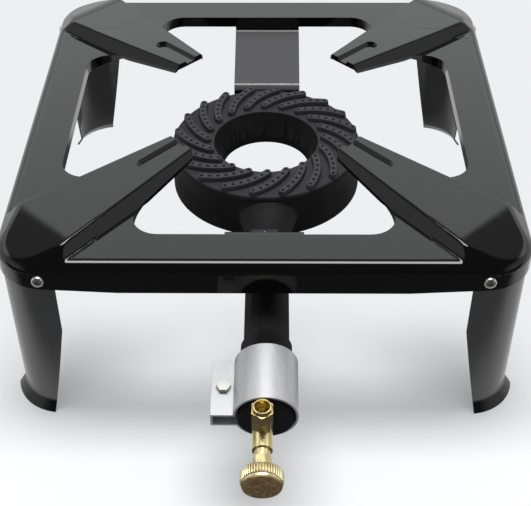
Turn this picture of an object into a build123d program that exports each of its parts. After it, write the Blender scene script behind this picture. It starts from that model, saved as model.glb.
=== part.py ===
"""Gas wok burner: a pressed enamelled stand on four corner legs, a cast swirl burner and a brass valve.

Millimetres. The floor is z = 0, +Z is up and the valve side, where the cook stands, faces -Y.
X = Y = 0 is the centre of the burner ring and of the stand.
"""

from math import atan, cos, degrees, radians, sin, sqrt, tan
import os

from build123d import *

os.makedirs("parts", exist_ok=True)

# Stand top: one pressed sheet with a rail all round and four raised pan arms
stand_width = 300.0
stand_corner_r = 40.0
stand_sheet = 1.2
rail_z = 115.8
rail_width = 27.7
rail_bend_r = 7.0
skirt_depth = 19.2
flange_depth = 7.5
opening_corner_r = 15.0

# Pan arms: a plateau that widens outward between two leaning walls
arm_tip_reach = 69.85
arm_tip_half = 9.7
arm_spread = 0.129
arm_side_shift = 2.0
arm_rise = 9.9
arm_fall = 0.0275
arm_wall_lean = 0.59
arm_crease_reach = 172.0
arm_crease_r = 8.0
arm_edge_r = 2.0
arm_corner_slope = 1.2
arm_lip_half = 12.0
arm_lip_spread = 0.18
arm_lip_r = 3.0
arm_wall_depth = 3.9
arm_free_length = 42.0
arm_free_fall = 0.107
arm_root_run = 18.0
bead_width = 9.0
bead_depth = 2.2
bead_length = 33.0
bead_draft = 35.0

# Burner straps, cut and bent out of the same sheet
strap_width = 46.0
strap_root_drop = 3.0
strap_root_r = 3.0
strap_bend_r = 5.0
strap_corner_r = 6.0
rear_strap_fall = 16.0
rear_strap_leg = 21.0
front_strap_ledge = 22.3
front_strap_fall = 5.8
front_strap_leg = 12.6
front_bolt_drop = 8.5

# Legs: pressed quarter shells inside the skirt
leg_sheet = 1.2
leg_nest_gap = 0.1
leg_flank_inset = 5.0
leg_taper_z = 65.0
leg_taper = 10.5
leg_lip_height = 6.0
leg_lip_reach = 4.0

# M4 leg screws, two in each corner
screw_r = 2.0
screw_clearance = 0.15
screw_head_r = 3.5
screw_head_height = 2.4
screw_head_round = 1.3
screw_recess_length = 3.8
screw_recess_width = 0.8
screw_recess_depth = 1.1
screw_angle = 18.0
screw_drop = 10.3
screw_end = 1.2
nut_flats = 7.0
nut_height = 3.2
thread_gap = 0.05

# Burner ring
ring_r = 61.5
ring_top_z = 93.5
ring_height = 30.0
ring_wall = 4.0
ring_top_chamfer = 1.2
ring_bottom_r = 3.0
throat_top_r = 34.0
throat_r = 28.5
throat_drop = 21.5
rib_count = 20
rib_width = 5.0
rib_height = 3.25
rib_draft = 10.0
rib_top_r = 0.8
rib_phase = 1.9
rib_inner_r = 38.1
rib_outer_r = 58.1
rib_middle_r = 48.8
rib_middle_turn = 14.3
rib_turn = 27.1
port_r = 0.9
port_count = 7

# Mixing tube, on an axis that falls towards the front
tube_slope = 5.0
tube_root_z = 77.0
tube_x = 1.6
tube_r = 12.75
tube_bore_r = 9.0
neck_half_width = 20.0
neck_length = 17.0
collar_r = 14.25
collar_start = 102.4
land_start = 116.0
land_length = 12.0
window_length = 18.0
mouth_bore_r = 11.4
end_disc_r = 14.85
end_disc_thickness = 5.2
window_width = 16.0
lug_thickness = 8.5
lug_width = 16.0
lug_height = 13.0
lug_corner_r = 3.0
front_lug_top = 4.4

# Burner bolts, M5, one through each strap
bolt_r = 2.5
bolt_head_flats = 8.0
bolt_head_height = 3.5
bolt_thread_length = 8.0
washer_r = 4.6
washer_thickness = 1.2

# Air sleeve: a split band with a clamp ear on its left side
sleeve_r = 17.4
sleeve_sheet = 1.2
sleeve_fit = 0.08
sleeve_length = 36.0
sleeve_back = 113.4
ear_reach = 29.4
ear_top = 1.5
ear_height = 9.2
ear_heel_gap = 0.1
sleeve_bolt_reach = 22.8
sleeve_bolt_r = 2.0
sleeve_bolt_head_height = 2.8

# Brass valve, beside the tube's own axis by its casting's offset
valve_x = 0.0
valve_body_r = 5.4
valve_body_length = 19.3
valve_nose_r = 4.9
valve_nose_length = 7.4
inlet_reach = 6.5
inlet_hex_flats = 10.0
inlet_hex_top = 12.2
inlet_hex_turn = 15.0
pipe_r = 4.05
pipe_depth = 13.0
pipe_nut_flats = 11.0
pipe_nut_top = 18.9
pipe_nut_rim = 21.0
pipe_nut_rim_r = 4.65
pipe_thread_r = 4.75
pipe_nut_wall = 1.6
olive_length = 2.2
chamber_r = 3.0
gland_bore_r = 3.5
gland_depth = 7.1
packing_length = 1.6
packing_gap = 0.3
gland_collar_r = 4.3
gland_collar_length = 4.3
gland_nut_flats = 8.6
gland_nut_length = 11.1
gland_nut_turn = 12.0
spindle_r = 2.5
spindle_fit = 0.05
spindle_thread_length = 2.6
spindle_lift = 1.5
stem_r = 1.8
needle_length = 2.7
needle_tip_r = 0.5
seat_r = 1.3
seat_margin = 0.7
jet_flats = 6.0
jet_head_length = 5.0
jet_thread_r = 2.2
jet_thread_length = 4.0
jet_orifice_r = 0.6
knob_r = 11.2
knob_length = 8.8
knob_gap = 2.0
knob_chamfer = 0.75
knob_ridges = 46
knob_groove_depth = 0.45
knob_face_recess_r = 7.6
knob_face_recess_depth = 0.4
knob_bore_depth = 6.0
knob_post_r = 2.0

stand_half = stand_width / 2
opening_half = stand_half - rail_width
arm_top_z = rail_z + arm_rise
straight_half = stand_half - stand_corner_r
flange_bottom_z = rail_z - flange_depth
skirt_bottom_z = rail_z - skirt_depth
diagonal = Vector(1, 1, 0).normalized()
across = Vector(-1, 1, 0).normalized()


def stand_block(inset):
    """Rounded block with a bent top edge; the sheet lies between the blocks of inset 0 and of one sheet."""
    with BuildPart() as block:
        with BuildSketch(Plane.XY.offset(skirt_bottom_z - inset)):
            width = stand_width - 2 * inset
            RectangleRounded(width, width, stand_corner_r - inset)
        extrude(amount=skirt_depth)
        top_edges = block.faces().sort_by(Axis.Z)[-1].edges()
        fillet(top_edges, rail_bend_r - inset)
    return block.part


def arm_plane(reach):
    """Upright plane square to the back right arm at a distance from the centre; x runs across the arm."""
    origin = diagonal * reach - across * arm_side_shift
    return Plane(origin=origin, x_dir=across, z_dir=diagonal)


def arm_form(inset):
    """Solid under the outer face of one raised arm, or under its inner face with an inset of one sheet."""
    wall_inset = inset * sqrt(1 + arm_wall_lean**2)
    base_z = skirt_bottom_z
    peak_z = arm_top_z + 8

    def wall_half(reach, z):
        plateau_z = arm_top_z - arm_fall * (reach - arm_tip_reach)
        plateau_half = arm_tip_half + arm_spread * (reach - arm_tip_reach)
        return plateau_half + arm_wall_lean * (plateau_z - z) - wall_inset

    crease_z = arm_top_z - arm_fall * (arm_crease_reach - arm_tip_reach)
    corner_reach = straight_half * sqrt(2) + stand_corner_r - rail_bend_r
    facet_slope = (crease_z - rail_z) / (corner_reach - arm_crease_reach)
    facet_inset = inset * sqrt(1 + facet_slope**2)
    crease = arm_crease_reach - inset * facet_slope / 2
    end_reach = corner_reach + 12
    side_plane = Plane(origin=across * -arm_side_shift, x_dir=diagonal, z_dir=(1, -1, 0))

    with BuildPart() as form:
        for reach in (arm_tip_reach - 8, end_reach):
            low_half = wall_half(reach, base_z)
            high_half = wall_half(reach, peak_z)
            with BuildSketch(arm_plane(reach)):
                with BuildLine():
                    Polyline(
                        (-low_half, base_z),
                        (low_half, base_z),
                        (high_half, peak_z),
                        (-high_half, peak_z),
                        close=True,
                    )
                make_face()
        loft(ruled=True)
        with BuildSketch(side_plane) as top_profile:
            with BuildLine():
                Polyline(
                    (arm_tip_reach - 9, base_z),
                    (arm_tip_reach - 9, arm_top_z - inset + 9 * arm_fall),
                    (crease, crease_z - inset),
                    (end_reach, rail_z - facet_inset - facet_slope * (end_reach - corner_reach)),
                    (end_reach, base_z),
                    close=True,
                )
            make_face()
            crease_points = top_profile.vertices().filter_by(
                lambda point: abs(point.Z - crease_z + inset) < 0.01 and point.X > arm_tip_reach
            )
            fillet(crease_points, arm_crease_r)
        extrude(amount=60, both=True, mode=Mode.INTERSECT)
        long_edges = form.edges().filter_by(
            lambda edge: (edge @ 0.5).Z > rail_z - 2 and abs((edge @ 0.0 - edge @ 1.0).dot(diagonal)) > 1.0
        )
        fillet(long_edges, arm_edge_r - inset if arm_edge_r > inset else 0.5)
        lean = degrees(atan(1 / arm_corner_slope))
        clip_half = stand_half - rail_bend_r - inset * sqrt(1 + 1 / arm_corner_slope**2)
        clip_half += inset / arm_corner_slope
        clip_r = clip_half - straight_half
        with BuildPart(mode=Mode.PRIVATE) as clip:
            with BuildSketch(Plane.XY.offset(rail_z - inset)) as clip_outline:
                RectangleRounded(2 * clip_half, 2 * clip_half, clip_r)
            extrude(amount=arm_rise + 4, taper=lean)
            extrude(clip_outline.sketch, amount=-skirt_depth)
        add(clip.part, mode=Mode.INTERSECT)
        bead_growth = inset * 1.15
        bead_plane = Plane(
            origin=diagonal * arm_tip_reach - across * arm_side_shift + Vector(0, 0, arm_top_z - inset),
            x_dir=diagonal - Vector(0, 0, arm_fall),
            z_dir=diagonal * arm_fall + Vector(0, 0, 1),
        )
        with BuildSketch(bead_plane):
            SlotCenterToCenter(2 * bead_length - bead_width, bead_width + 2 * bead_growth)
        extrude(amount=-bead_depth, taper=bead_draft, mode=Mode.SUBTRACT)
    return form.part


def four_ways(piece):
    """The back right piece and its three mirror images."""
    with BuildPart() as group:
        add(piece)
        mirror(about=Plane.YZ)
        mirror(about=Plane.XZ)
    return group.part


def lip_points(reach):
    """The two edge points of an arm's cut strip at a distance from the centre, in plan."""
    half = arm_lip_half + arm_lip_spread * (reach - arm_tip_reach)
    middle = diagonal * reach - across * arm_side_shift
    return middle - across * half, middle + across * half


# Plan outline of the opening between the rail and the arms
with BuildSketch() as opening_outline:
    Rectangle(2 * opening_half, 2 * opening_half)
    near_a, near_b = lip_points(arm_tip_reach)
    far_a, far_b = lip_points(stand_half * 1.4)
    for sign_x, sign_y in ((1, 1), (-1, 1), (-1, -1), (1, -1)):
        strip = [(sign_x * p.X, sign_y * p.Y) for p in (near_a, far_a, far_b, near_b)]
        with BuildSketch(mode=Mode.SUBTRACT):
            with BuildLine():
                Polyline(*strip, close=True)
            make_face()
    edge_points = opening_outline.vertices()
    rail_points = edge_points.filter_by(lambda p: max(abs(p.X), abs(p.Y)) > opening_half - 0.01)
    fillet(rail_points, opening_corner_r)
    tip_points = opening_outline.vertices().filter_by(
        lambda p: p.X**2 + p.Y**2 < (arm_tip_reach + arm_lip_half) ** 2
    )
    fillet(tip_points, arm_lip_r)

outer_block = stand_block(0)
outer_arms = four_ways(arm_form(0))
inner_block = stand_block(stand_sheet)
inner_arms = four_ways(arm_form(stand_sheet))

with BuildPart() as outer_form:
    add(outer_block)
    add(outer_arms)

with BuildPart() as inner_form:
    add(inner_block)
    add(inner_arms)

# Below this line an arm that stands free over the opening has no wall
free_end = arm_tip_reach + arm_free_length
free_top = arm_top_z - arm_wall_depth
free_root = free_top - arm_free_fall * arm_free_length
with BuildPart() as under_arm:
    with BuildSketch(Plane(origin=across * -arm_side_shift, x_dir=diagonal, z_dir=(1, -1, 0))):
        with BuildLine():
            Polyline(
                (0, skirt_bottom_z),
                (0, free_top + arm_free_fall * arm_tip_reach),
                (free_end, free_root),
                (free_end + arm_root_run, flange_bottom_z),
                (free_end + arm_root_run, skirt_bottom_z),
                close=True,
            )
        make_face()
    extrude(amount=40, both=True)
under_arms = four_ways(under_arm.part)

# Turned down edge of the opening
with BuildPart() as flange_band:
    with BuildSketch(Plane.XY.offset(flange_bottom_z)):
        add(opening_outline.sketch)
        offset(amount=stand_sheet, kind=Kind.ARC)
        add(opening_outline.sketch, mode=Mode.SUBTRACT)
    extrude(amount=flange_depth + arm_rise)
    add(outer_form.part, mode=Mode.INTERSECT)
    add(under_arms, mode=Mode.SUBTRACT)

screw_planes = []
for sign_x, sign_y in ((1, 1), (-1, 1), (-1, -1), (1, -1)):
    for angle in (screw_angle, 90 - screw_angle):
        outward = Vector(sign_x * cos(radians(angle)), sign_y * sin(radians(angle)), 0)
        corner = Vector(sign_x * straight_half, sign_y * straight_half, rail_z - screw_drop)
        screw_planes.append(Plane(origin=corner + outward * stand_corner_r, z_dir=outward))

# Bolt centres on the two straps: the strap's outer face and the bolt's height
strap_mid = opening_half + stand_sheet / 2
strap_root_z = flange_bottom_z - strap_root_drop
rear_strap_y = ring_r + lug_thickness + stand_sheet / 2
rear_strap_z = strap_root_z - rear_strap_fall
rear_bolt_z = rear_strap_z - rear_strap_leg / 2 - 1
front_strap_y = -(strap_mid - front_strap_ledge)
front_strap_z = strap_root_z - front_strap_fall
front_bolt_z = front_strap_z - front_bolt_drop

with BuildPart() as stand_top:
    add(outer_form.part)
    add(inner_form.part, mode=Mode.SUBTRACT)
    with BuildSketch(Plane.XY.offset(skirt_bottom_z - 1)):
        add(opening_outline.sketch)
    extrude(amount=skirt_depth + arm_rise + 4, mode=Mode.SUBTRACT)
    add(flange_band.part)
    with BuildSketch(Plane.YZ):
        with BuildLine():
            FilletPolyline(
                (strap_mid, flange_bottom_z + 1),
                (strap_mid, strap_root_z),
                (rear_strap_y, rear_strap_z),
                (rear_strap_y, rear_strap_z - rear_strap_leg),
                radius=(strap_root_r, strap_bend_r),
            )
        trace(line_width=stand_sheet)
    extrude(amount=strap_width / 2, both=True)
    with BuildSketch(Plane.YZ):
        with BuildLine():
            FilletPolyline(
                (-strap_mid, flange_bottom_z + 1),
                (-strap_mid, strap_root_z),
                (front_strap_y, front_strap_z),
                (front_strap_y, front_strap_z - front_strap_leg),
                radius=(strap_root_r, strap_root_r),
            )
        trace(line_width=stand_sheet)
    extrude(amount=strap_width / 2, both=True)
    with Locations(*[plane.location for plane in screw_planes]):
        Cylinder(screw_r + screw_clearance, 4 * stand_sheet, mode=Mode.SUBTRACT)
    with Locations(Plane(origin=(0, rear_strap_y, rear_bolt_z), z_dir=(0, 1, 0)).location):
        Cylinder(bolt_r + screw_clearance, 4 * stand_sheet, mode=Mode.SUBTRACT)
    with Locations(Plane(origin=(0, front_strap_y, front_bolt_z), z_dir=(0, -1, 0)).location):
        Cylinder(bolt_r + screw_clearance, 4 * stand_sheet, mode=Mode.SUBTRACT)

stand_top.part.label = "stand_top"

# Corner legs
leg_outer_r = stand_corner_r - stand_sheet - leg_nest_gap
leg_mid_r = leg_outer_r - leg_sheet / 2
leg_top_z = rail_z - rail_bend_r
flank_edge = straight_half + leg_flank_inset
screw_reach = 12.0

with BuildPart() as leg_back_right:
    corner_axis = Axis((straight_half, straight_half, 0), (0, 0, 1))
    with BuildSketch(Plane(origin=(straight_half, straight_half, 0), x_dir=(1, 0, 0), z_dir=(0, -1, 0))):
        with BuildLine():
            FilletPolyline(
                (leg_mid_r, leg_top_z),
                (leg_mid_r, leg_lip_height),
                (leg_mid_r + 1.5 * leg_lip_reach, -leg_lip_height / 2),
                radius=leg_lip_reach,
            )
        trace(line_width=leg_sheet)
    revolve(axis=corner_axis, revolution_arc=90)
    with BuildSketch(Plane.XY.offset(-leg_lip_height)):
        Rectangle(2 * stand_width, 2 * stand_width)
    extrude(amount=leg_lip_height, mode=Mode.SUBTRACT)
    for side_plane in (Plane.XZ.offset(-straight_half), Plane.YZ.offset(straight_half)):
        with BuildSketch(side_plane):
            with BuildLine():
                Polyline(
                    (straight_half - 10, leg_top_z + 1),
                    (flank_edge, leg_top_z + 1),
                    (flank_edge, leg_taper_z),
                    (flank_edge + leg_taper, 0),
                    (flank_edge + leg_taper, -1),
                    (straight_half - 10, -1),
                    close=True,
                )
            make_face()
        extrude(amount=stand_half, both=True, mode=Mode.SUBTRACT)
    with Locations(*[plane.location for plane in screw_planes[:2]]):
        Cylinder(screw_r + screw_clearance, screw_reach, mode=Mode.SUBTRACT)
leg_back_right.part.label = "leg_back_right"

with BuildPart() as leg_back_left:
    mirror(leg_back_right.part, about=Plane.YZ)
leg_back_left.part.label = "leg_back_left"

with BuildPart() as leg_front_right:
    mirror(leg_back_right.part, about=Plane.XZ)
leg_front_right.part.label = "leg_front_right"

with BuildPart() as leg_front_left:
    mirror(leg_back_left.part, about=Plane.XZ)
leg_front_left.part.label = "leg_front_left"

# Leg screws and nuts; a nut's corners seat on the curved inside of the leg
nut_corner_r = nut_flats / sqrt(3)
nut_face_r = sqrt((leg_outer_r - leg_sheet) ** 2 - nut_corner_r**2) - thread_gap
screw_length = stand_corner_r - nut_face_r + nut_height + screw_end

with BuildPart() as leg_screw:
    Cylinder(screw_head_r, screw_head_height, align=(Align.CENTER, Align.CENTER, Align.MIN))
    fillet(leg_screw.faces().sort_by(Axis.Z)[-1].edges(), screw_head_round)
    Cylinder(screw_r, screw_length, align=(Align.CENTER, Align.CENTER, Align.MAX))
    with Locations((0, 0, screw_head_height)):
        Box(screw_recess_length, screw_recess_width, 2 * screw_recess_depth, mode=Mode.SUBTRACT)
        Box(screw_recess_width, screw_recess_length, 2 * screw_recess_depth, mode=Mode.SUBTRACT)

with BuildPart() as leg_screws:
    with Locations(*[plane.location for plane in screw_planes]):
        add(leg_screw.part)
leg_screws.part.label = "leg_screws"

with BuildPart() as leg_nut:
    with BuildSketch(Plane.XY.offset(nut_face_r - stand_corner_r)):
        RegularPolygon(nut_flats / 2, 6, major_radius=False)
        Circle(screw_r + thread_gap, mode=Mode.SUBTRACT)
    extrude(amount=-nut_height)

with BuildPart() as leg_nuts:
    with Locations(*[plane.location for plane in screw_planes]):
        add(leg_nut.part)
leg_nuts.part.label = "leg_nuts"

# Tube axis, from the ring's front wall down to the front
tube_axis = Vector(0, -cos(radians(tube_slope)), -sin(radians(tube_slope)))
tube_origin = Vector(tube_x, -ring_r, tube_root_z)
tube_plane = Plane(origin=tube_origin, x_dir=(1, 0, 0), z_dir=tube_axis)
tube_side = Plane(origin=tube_origin, x_dir=tube_axis, z_dir=(1, 0, 0))
window_start = land_start + land_length
disc_start = window_start + window_length
disc_face = disc_start + end_disc_thickness
land_r = sleeve_r - sleeve_sheet - sleeve_fit

# One swirl rib: its middle line turns clockwise on its way out
rib_points = []
for reach, turn in ((rib_inner_r, 0), (rib_middle_r, rib_middle_turn), (rib_outer_r, rib_turn)):
    angle = radians(rib_phase - turn)
    rib_points.append((reach * cos(angle), reach * sin(angle)))

with BuildLine() as rib_line:
    ThreePointArc(*rib_points)
rib_arc = rib_line.edges()[0]

with BuildPart() as rib:
    with BuildSketch(Plane.XY.offset(ring_top_z - 0.5)):
        SlotArc(rib_arc, rib_width)
    extrude(amount=rib_height + 0.5, taper=rib_draft)
    fillet(rib.faces().sort_by(Axis.Z)[-1].edges(), rib_top_r)

with BuildPart() as burner_casting:
    with BuildSketch(Plane.XZ) as ring_section:
        with BuildLine():
            Polyline(
                (throat_top_r, ring_top_z),
                (ring_r, ring_top_z),
                (ring_r, ring_top_z - ring_height),
                (throat_r, ring_top_z - ring_height),
                (throat_r, ring_top_z - throat_drop),
                close=True,
            )
        make_face()
        corners = ring_section.vertices()
        outer_corners = corners.filter_by(lambda p: p.X > ring_r - 1).sort_by(Axis.Z)
        fillet(outer_corners[0], ring_bottom_r)
        chamfer(outer_corners[-1], ring_top_chamfer)
        inner_corners = ring_section.vertices().filter_by(lambda p: abs(p.X - throat_top_r) < 0.1)
        fillet(inner_corners, ring_top_chamfer)
    revolve(axis=Axis.Z)
    with PolarLocations(0, rib_count):
        add(rib.part)
    with BuildSketch(tube_plane.offset(-8)):
        Ellipse(neck_half_width, tube_r + 0.4)
    with BuildSketch(tube_plane.offset(neck_length)):
        Circle(tube_r)
    loft()
    with BuildSketch(tube_side):
        with BuildLine():
            Polyline(
                (neck_length - 1, 0),
                (neck_length - 1, tube_r),
                (collar_start, tube_r),
                (collar_start, collar_r),
                (land_start, collar_r),
                (land_start, land_r),
                (window_start, land_r),
                (window_start, collar_r),
                (disc_start, collar_r),
                (disc_start, end_disc_r),
                (disc_face, end_disc_r),
                (disc_face, 0),
                close=True,
            )
        make_face()
    revolve(axis=Axis(tube_origin, tube_axis))
    with BuildSketch(Plane(origin=(0, ring_r + lug_thickness, rear_bolt_z), x_dir=(1, 0, 0), z_dir=(0, 1, 0))):
        RectangleRounded(lug_width, lug_height, lug_corner_r)
    extrude(amount=-(lug_thickness + ring_wall / 2))
    front_lug_plane = Plane(
        origin=(0, front_strap_y + stand_sheet / 2, front_bolt_z), x_dir=(1, 0, 0), z_dir=(0, -1, 0)
    )
    with BuildSketch(front_lug_plane):
        with Locations((0, front_lug_top - lug_height / 2)):
            RectangleRounded(lug_width, lug_height, lug_corner_r)
    extrude(amount=-lug_thickness)
    with BuildSketch(Plane.XZ):
        with BuildLine():
            slope = (throat_top_r - throat_r) / throat_drop
            chamber_top = ring_top_z - ring_wall
            chamber_floor = ring_top_z - ring_height + ring_wall
            Polyline(
                (throat_top_r + ring_wall - slope * ring_wall, chamber_top),
                (ring_r - ring_wall, chamber_top),
                (ring_r - ring_wall, chamber_floor),
                (throat_r + ring_wall, chamber_floor),
                (throat_r + ring_wall, ring_top_z - throat_drop),
                close=True,
            )
        make_face()
    revolve(axis=Axis.Z, mode=Mode.SUBTRACT)
    with BuildSketch(tube_side):
        with BuildLine():
            Polyline(
                (-2 * ring_wall, 0),
                (-2 * ring_wall, tube_bore_r),
                (land_start, tube_bore_r),
                (window_start, mouth_bore_r),
                (disc_start, mouth_bore_r),
                (disc_start, 0),
                close=True,
            )
        make_face()
    revolve(axis=Axis(tube_origin, tube_axis), mode=Mode.SUBTRACT)
    window_middle = tube_plane.offset(window_start + window_length / 2)
    with Locations(window_middle.location):
        Box(3 * collar_r, window_width, window_length, mode=Mode.SUBTRACT)
        Box(window_width, 3 * collar_r, window_length, mode=Mode.SUBTRACT)
    with BuildSketch(tube_plane.offset(disc_face)):
        with Locations((valve_x - tube_x, 0)):
            Circle(valve_nose_r + thread_gap)
    extrude(amount=-end_disc_thickness, mode=Mode.SUBTRACT)
    with BuildSketch(front_lug_plane):
        Circle(bolt_r + thread_gap)
    extrude(amount=-bolt_thread_length, mode=Mode.SUBTRACT)
    with BuildSketch(Plane(origin=(0, ring_r + lug_thickness, rear_bolt_z), x_dir=(1, 0, 0), z_dir=(0, 1, 0))):
        Circle(bolt_r + thread_gap)
    extrude(amount=-bolt_thread_length, mode=Mode.SUBTRACT)
    ports = [rib_arc @ (index / (port_count - 1)) for index in range(port_count)]
    with BuildSketch(Plane.XY.offset(ring_top_z + rib_height)):
        with PolarLocations(0, rib_count):
            with Locations(*[(port.X, port.Y) for port in ports]):
                Circle(port_r)
    extrude(amount=-(rib_height + ring_wall + 0.5), mode=Mode.SUBTRACT)
burner_casting.part.label = "burner_casting"

# Burner bolts and spring washers, through the rear strap and the front strap
rear_bolt_plane = Plane(
    origin=(0, rear_strap_y + stand_sheet / 2, rear_bolt_z), x_dir=(1, 0, 0), z_dir=(0, 1, 0)
)
front_bolt_plane = Plane(
    origin=(0, front_strap_y - stand_sheet / 2, front_bolt_z), x_dir=(1, 0, 0), z_dir=(0, -1, 0)
)
bolt_planes = (rear_bolt_plane, front_bolt_plane)

with BuildPart() as burner_bolt:
    with BuildSketch(Plane.XY.offset(washer_thickness)):
        RegularPolygon(bolt_head_flats / 2, 6, major_radius=False)
    extrude(amount=bolt_head_height)
    with BuildSketch(Plane.XY.offset(washer_thickness)):
        Circle(bolt_r)
    extrude(amount=-(washer_thickness + stand_sheet + bolt_thread_length - 1))

with BuildPart() as burner_bolts:
    with Locations(*[plane.location for plane in bolt_planes]):
        add(burner_bolt.part)
burner_bolts.part.label = "burner_bolts"

with BuildPart() as burner_washer:
    with BuildSketch():
        Circle(washer_r)
        Circle(bolt_r + screw_clearance, mode=Mode.SUBTRACT)
    extrude(amount=washer_thickness)

with BuildPart() as burner_washers:
    with Locations(*[plane.location for plane in bolt_planes]):
        add(burner_washer.part)
burner_washers.part.label = "burner_washers"

# Air sleeve: the band runs on the tube's land, and its ear is clamped over a bent heel
sleeve_plane = tube_plane.offset(sleeve_back)
ear_bottom = ear_top - ear_height
band_mid_r = sleeve_r - sleeve_sheet / 2
low_joint_x = sqrt(band_mid_r**2 - (ear_bottom + sleeve_sheet / 2) ** 2)

with BuildPart() as air_sleeve:
    with BuildSketch(sleeve_plane):
        Circle(sleeve_r)
        Circle(sleeve_r - sleeve_sheet, mode=Mode.SUBTRACT)
        with Locations((-sleeve_r, ear_top - ear_height / 2)):
            Rectangle(sleeve_r, ear_height - 2 * sleeve_sheet, mode=Mode.SUBTRACT)
        with BuildLine():
            Polyline(
                (-band_mid_r, ear_top),
                (-ear_reach, ear_top),
                (-ear_reach, ear_bottom + sleeve_sheet + ear_heel_gap),
                (-ear_reach + sleeve_sheet, ear_bottom + sleeve_sheet + ear_heel_gap),
                (-ear_reach + sleeve_sheet, ear_top - sleeve_sheet),
                (-band_mid_r, ear_top - sleeve_sheet),
                close=True,
            )
        make_face()
        with BuildLine():
            Polyline(
                (-low_joint_x, ear_bottom),
                (-ear_reach, ear_bottom),
                (-ear_reach, ear_bottom + sleeve_sheet),
                (-low_joint_x, ear_bottom + sleeve_sheet),
                close=True,
            )
        make_face()
    extrude(amount=sleeve_length)
    bolt_line = sleeve_plane.offset(sleeve_length / 2)
    sleeve_bolt_seat = Plane(
        origin=bolt_line.from_local_coords(Vector(-sleeve_bolt_reach, ear_top, 0)),
        x_dir=(1, 0, 0),
        z_dir=tube_plane.y_dir,
    )
    with Locations(sleeve_bolt_seat.location):
        Cylinder(
            sleeve_bolt_r + screw_clearance,
            ear_height + 1,
            align=(Align.CENTER, Align.CENTER, Align.MAX),
            mode=Mode.SUBTRACT,
        )
air_sleeve.part.label = "air_sleeve"

with BuildPart() as sleeve_bolt:
    with BuildSketch(sleeve_bolt_seat):
        RegularPolygon(nut_flats / 2, 6, major_radius=False)
    extrude(amount=sleeve_bolt_head_height)
    with BuildSketch(sleeve_bolt_seat):
        Circle(sleeve_bolt_r)
    extrude(amount=-(ear_height + nut_height + screw_end))
sleeve_bolt.part.label = "sleeve_bolt"

with BuildPart() as sleeve_nut:
    with BuildSketch(sleeve_bolt_seat.offset(-ear_height)):
        RegularPolygon(nut_flats / 2, 6, major_radius=False)
        Circle(sleeve_bolt_r + thread_gap, mode=Mode.SUBTRACT)
    extrude(amount=-nut_height)
sleeve_nut.part.label = "sleeve_nut"

# Needle valve: every distance below runs along its axis from the end disc's face
valve_plane = tube_plane.offset(disc_face).shift_origin(
    tube_plane.offset(disc_face).origin + Vector(valve_x - tube_x, 0, 0)
)
valve_side = Plane(origin=valve_plane.origin, x_dir=tube_axis, z_dir=(1, 0, 0))
valve_line = Axis(valve_plane.origin, tube_axis)
inlet_plane = Plane(
    origin=valve_plane.from_local_coords(Vector(0, 0, inlet_reach)), x_dir=(1, 0, 0), z_dir=tube_plane.y_dir
)
male_top = pipe_nut_rim - pipe_nut_wall - olive_length
gland_start = valve_body_length - gland_depth
packing_start = gland_start + packing_gap
packing_end = packing_start + packing_length
seat_reach = inlet_reach - chamber_r - seat_margin
stem_start = seat_reach + needle_length - needle_length * (seat_r - thread_gap - needle_tip_r) / (
    stem_r - needle_tip_r
)
knob_start = valve_body_length + gland_nut_length + knob_gap
spindle_thread_r = chamber_r - thread_gap
spindle_thread_end = gland_start - spindle_lift + thread_gap
spindle_post_r = knob_post_r

with BuildPart() as valve_body:
    with BuildSketch(valve_plane):
        Circle(valve_body_r)
    extrude(amount=valve_body_length)
    with BuildSketch(valve_plane):
        Circle(valve_nose_r)
    extrude(amount=-valve_nose_length)
    with BuildSketch(inlet_plane.offset(valve_body_r / 2)):
        RegularPolygon(inlet_hex_flats / 2, 6, major_radius=False, rotation=inlet_hex_turn)
    extrude(amount=inlet_hex_top - valve_body_r / 2)
    with BuildSketch(inlet_plane):
        Circle(pipe_thread_r)
    extrude(amount=male_top)
    with BuildSketch(inlet_plane.offset(male_top)):
        Circle(pipe_r)
    extrude(amount=-(male_top - pipe_nut_rim + pipe_depth), mode=Mode.SUBTRACT)
    with BuildSketch(inlet_plane):
        Circle(chamber_r)
    extrude(amount=male_top, mode=Mode.SUBTRACT)
    with BuildSketch(valve_side):
        with BuildLine():
            Polyline(
                (-valve_nose_length, 0),
                (-valve_nose_length, jet_thread_r + thread_gap),
                (-valve_nose_length + jet_thread_length + thread_gap, jet_thread_r + thread_gap),
                (-valve_nose_length + jet_thread_length + thread_gap, seat_r),
                (seat_reach, seat_r),
                (seat_reach, chamber_r),
                (gland_start, chamber_r),
                (gland_start, gland_bore_r),
                (valve_body_length, gland_bore_r),
                (valve_body_length, 0),
                close=True,
            )
        make_face()
    revolve(axis=valve_line, mode=Mode.SUBTRACT)
valve_body.part.label = "valve_body"

with BuildPart() as injector_jet:
    jet_plane = valve_plane.offset(-valve_nose_length)
    with BuildSketch(jet_plane):
        RegularPolygon(jet_flats / 2, 6, major_radius=False)
    extrude(amount=-jet_head_length)
    with BuildSketch(jet_plane):
        Circle(jet_thread_r)
    extrude(amount=jet_thread_length)
    with BuildSketch(jet_plane.offset(jet_thread_length)):
        Circle(jet_orifice_r)
    extrude(amount=-(jet_thread_length + jet_head_length), mode=Mode.SUBTRACT)
injector_jet.part.label = "injector_jet"

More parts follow.
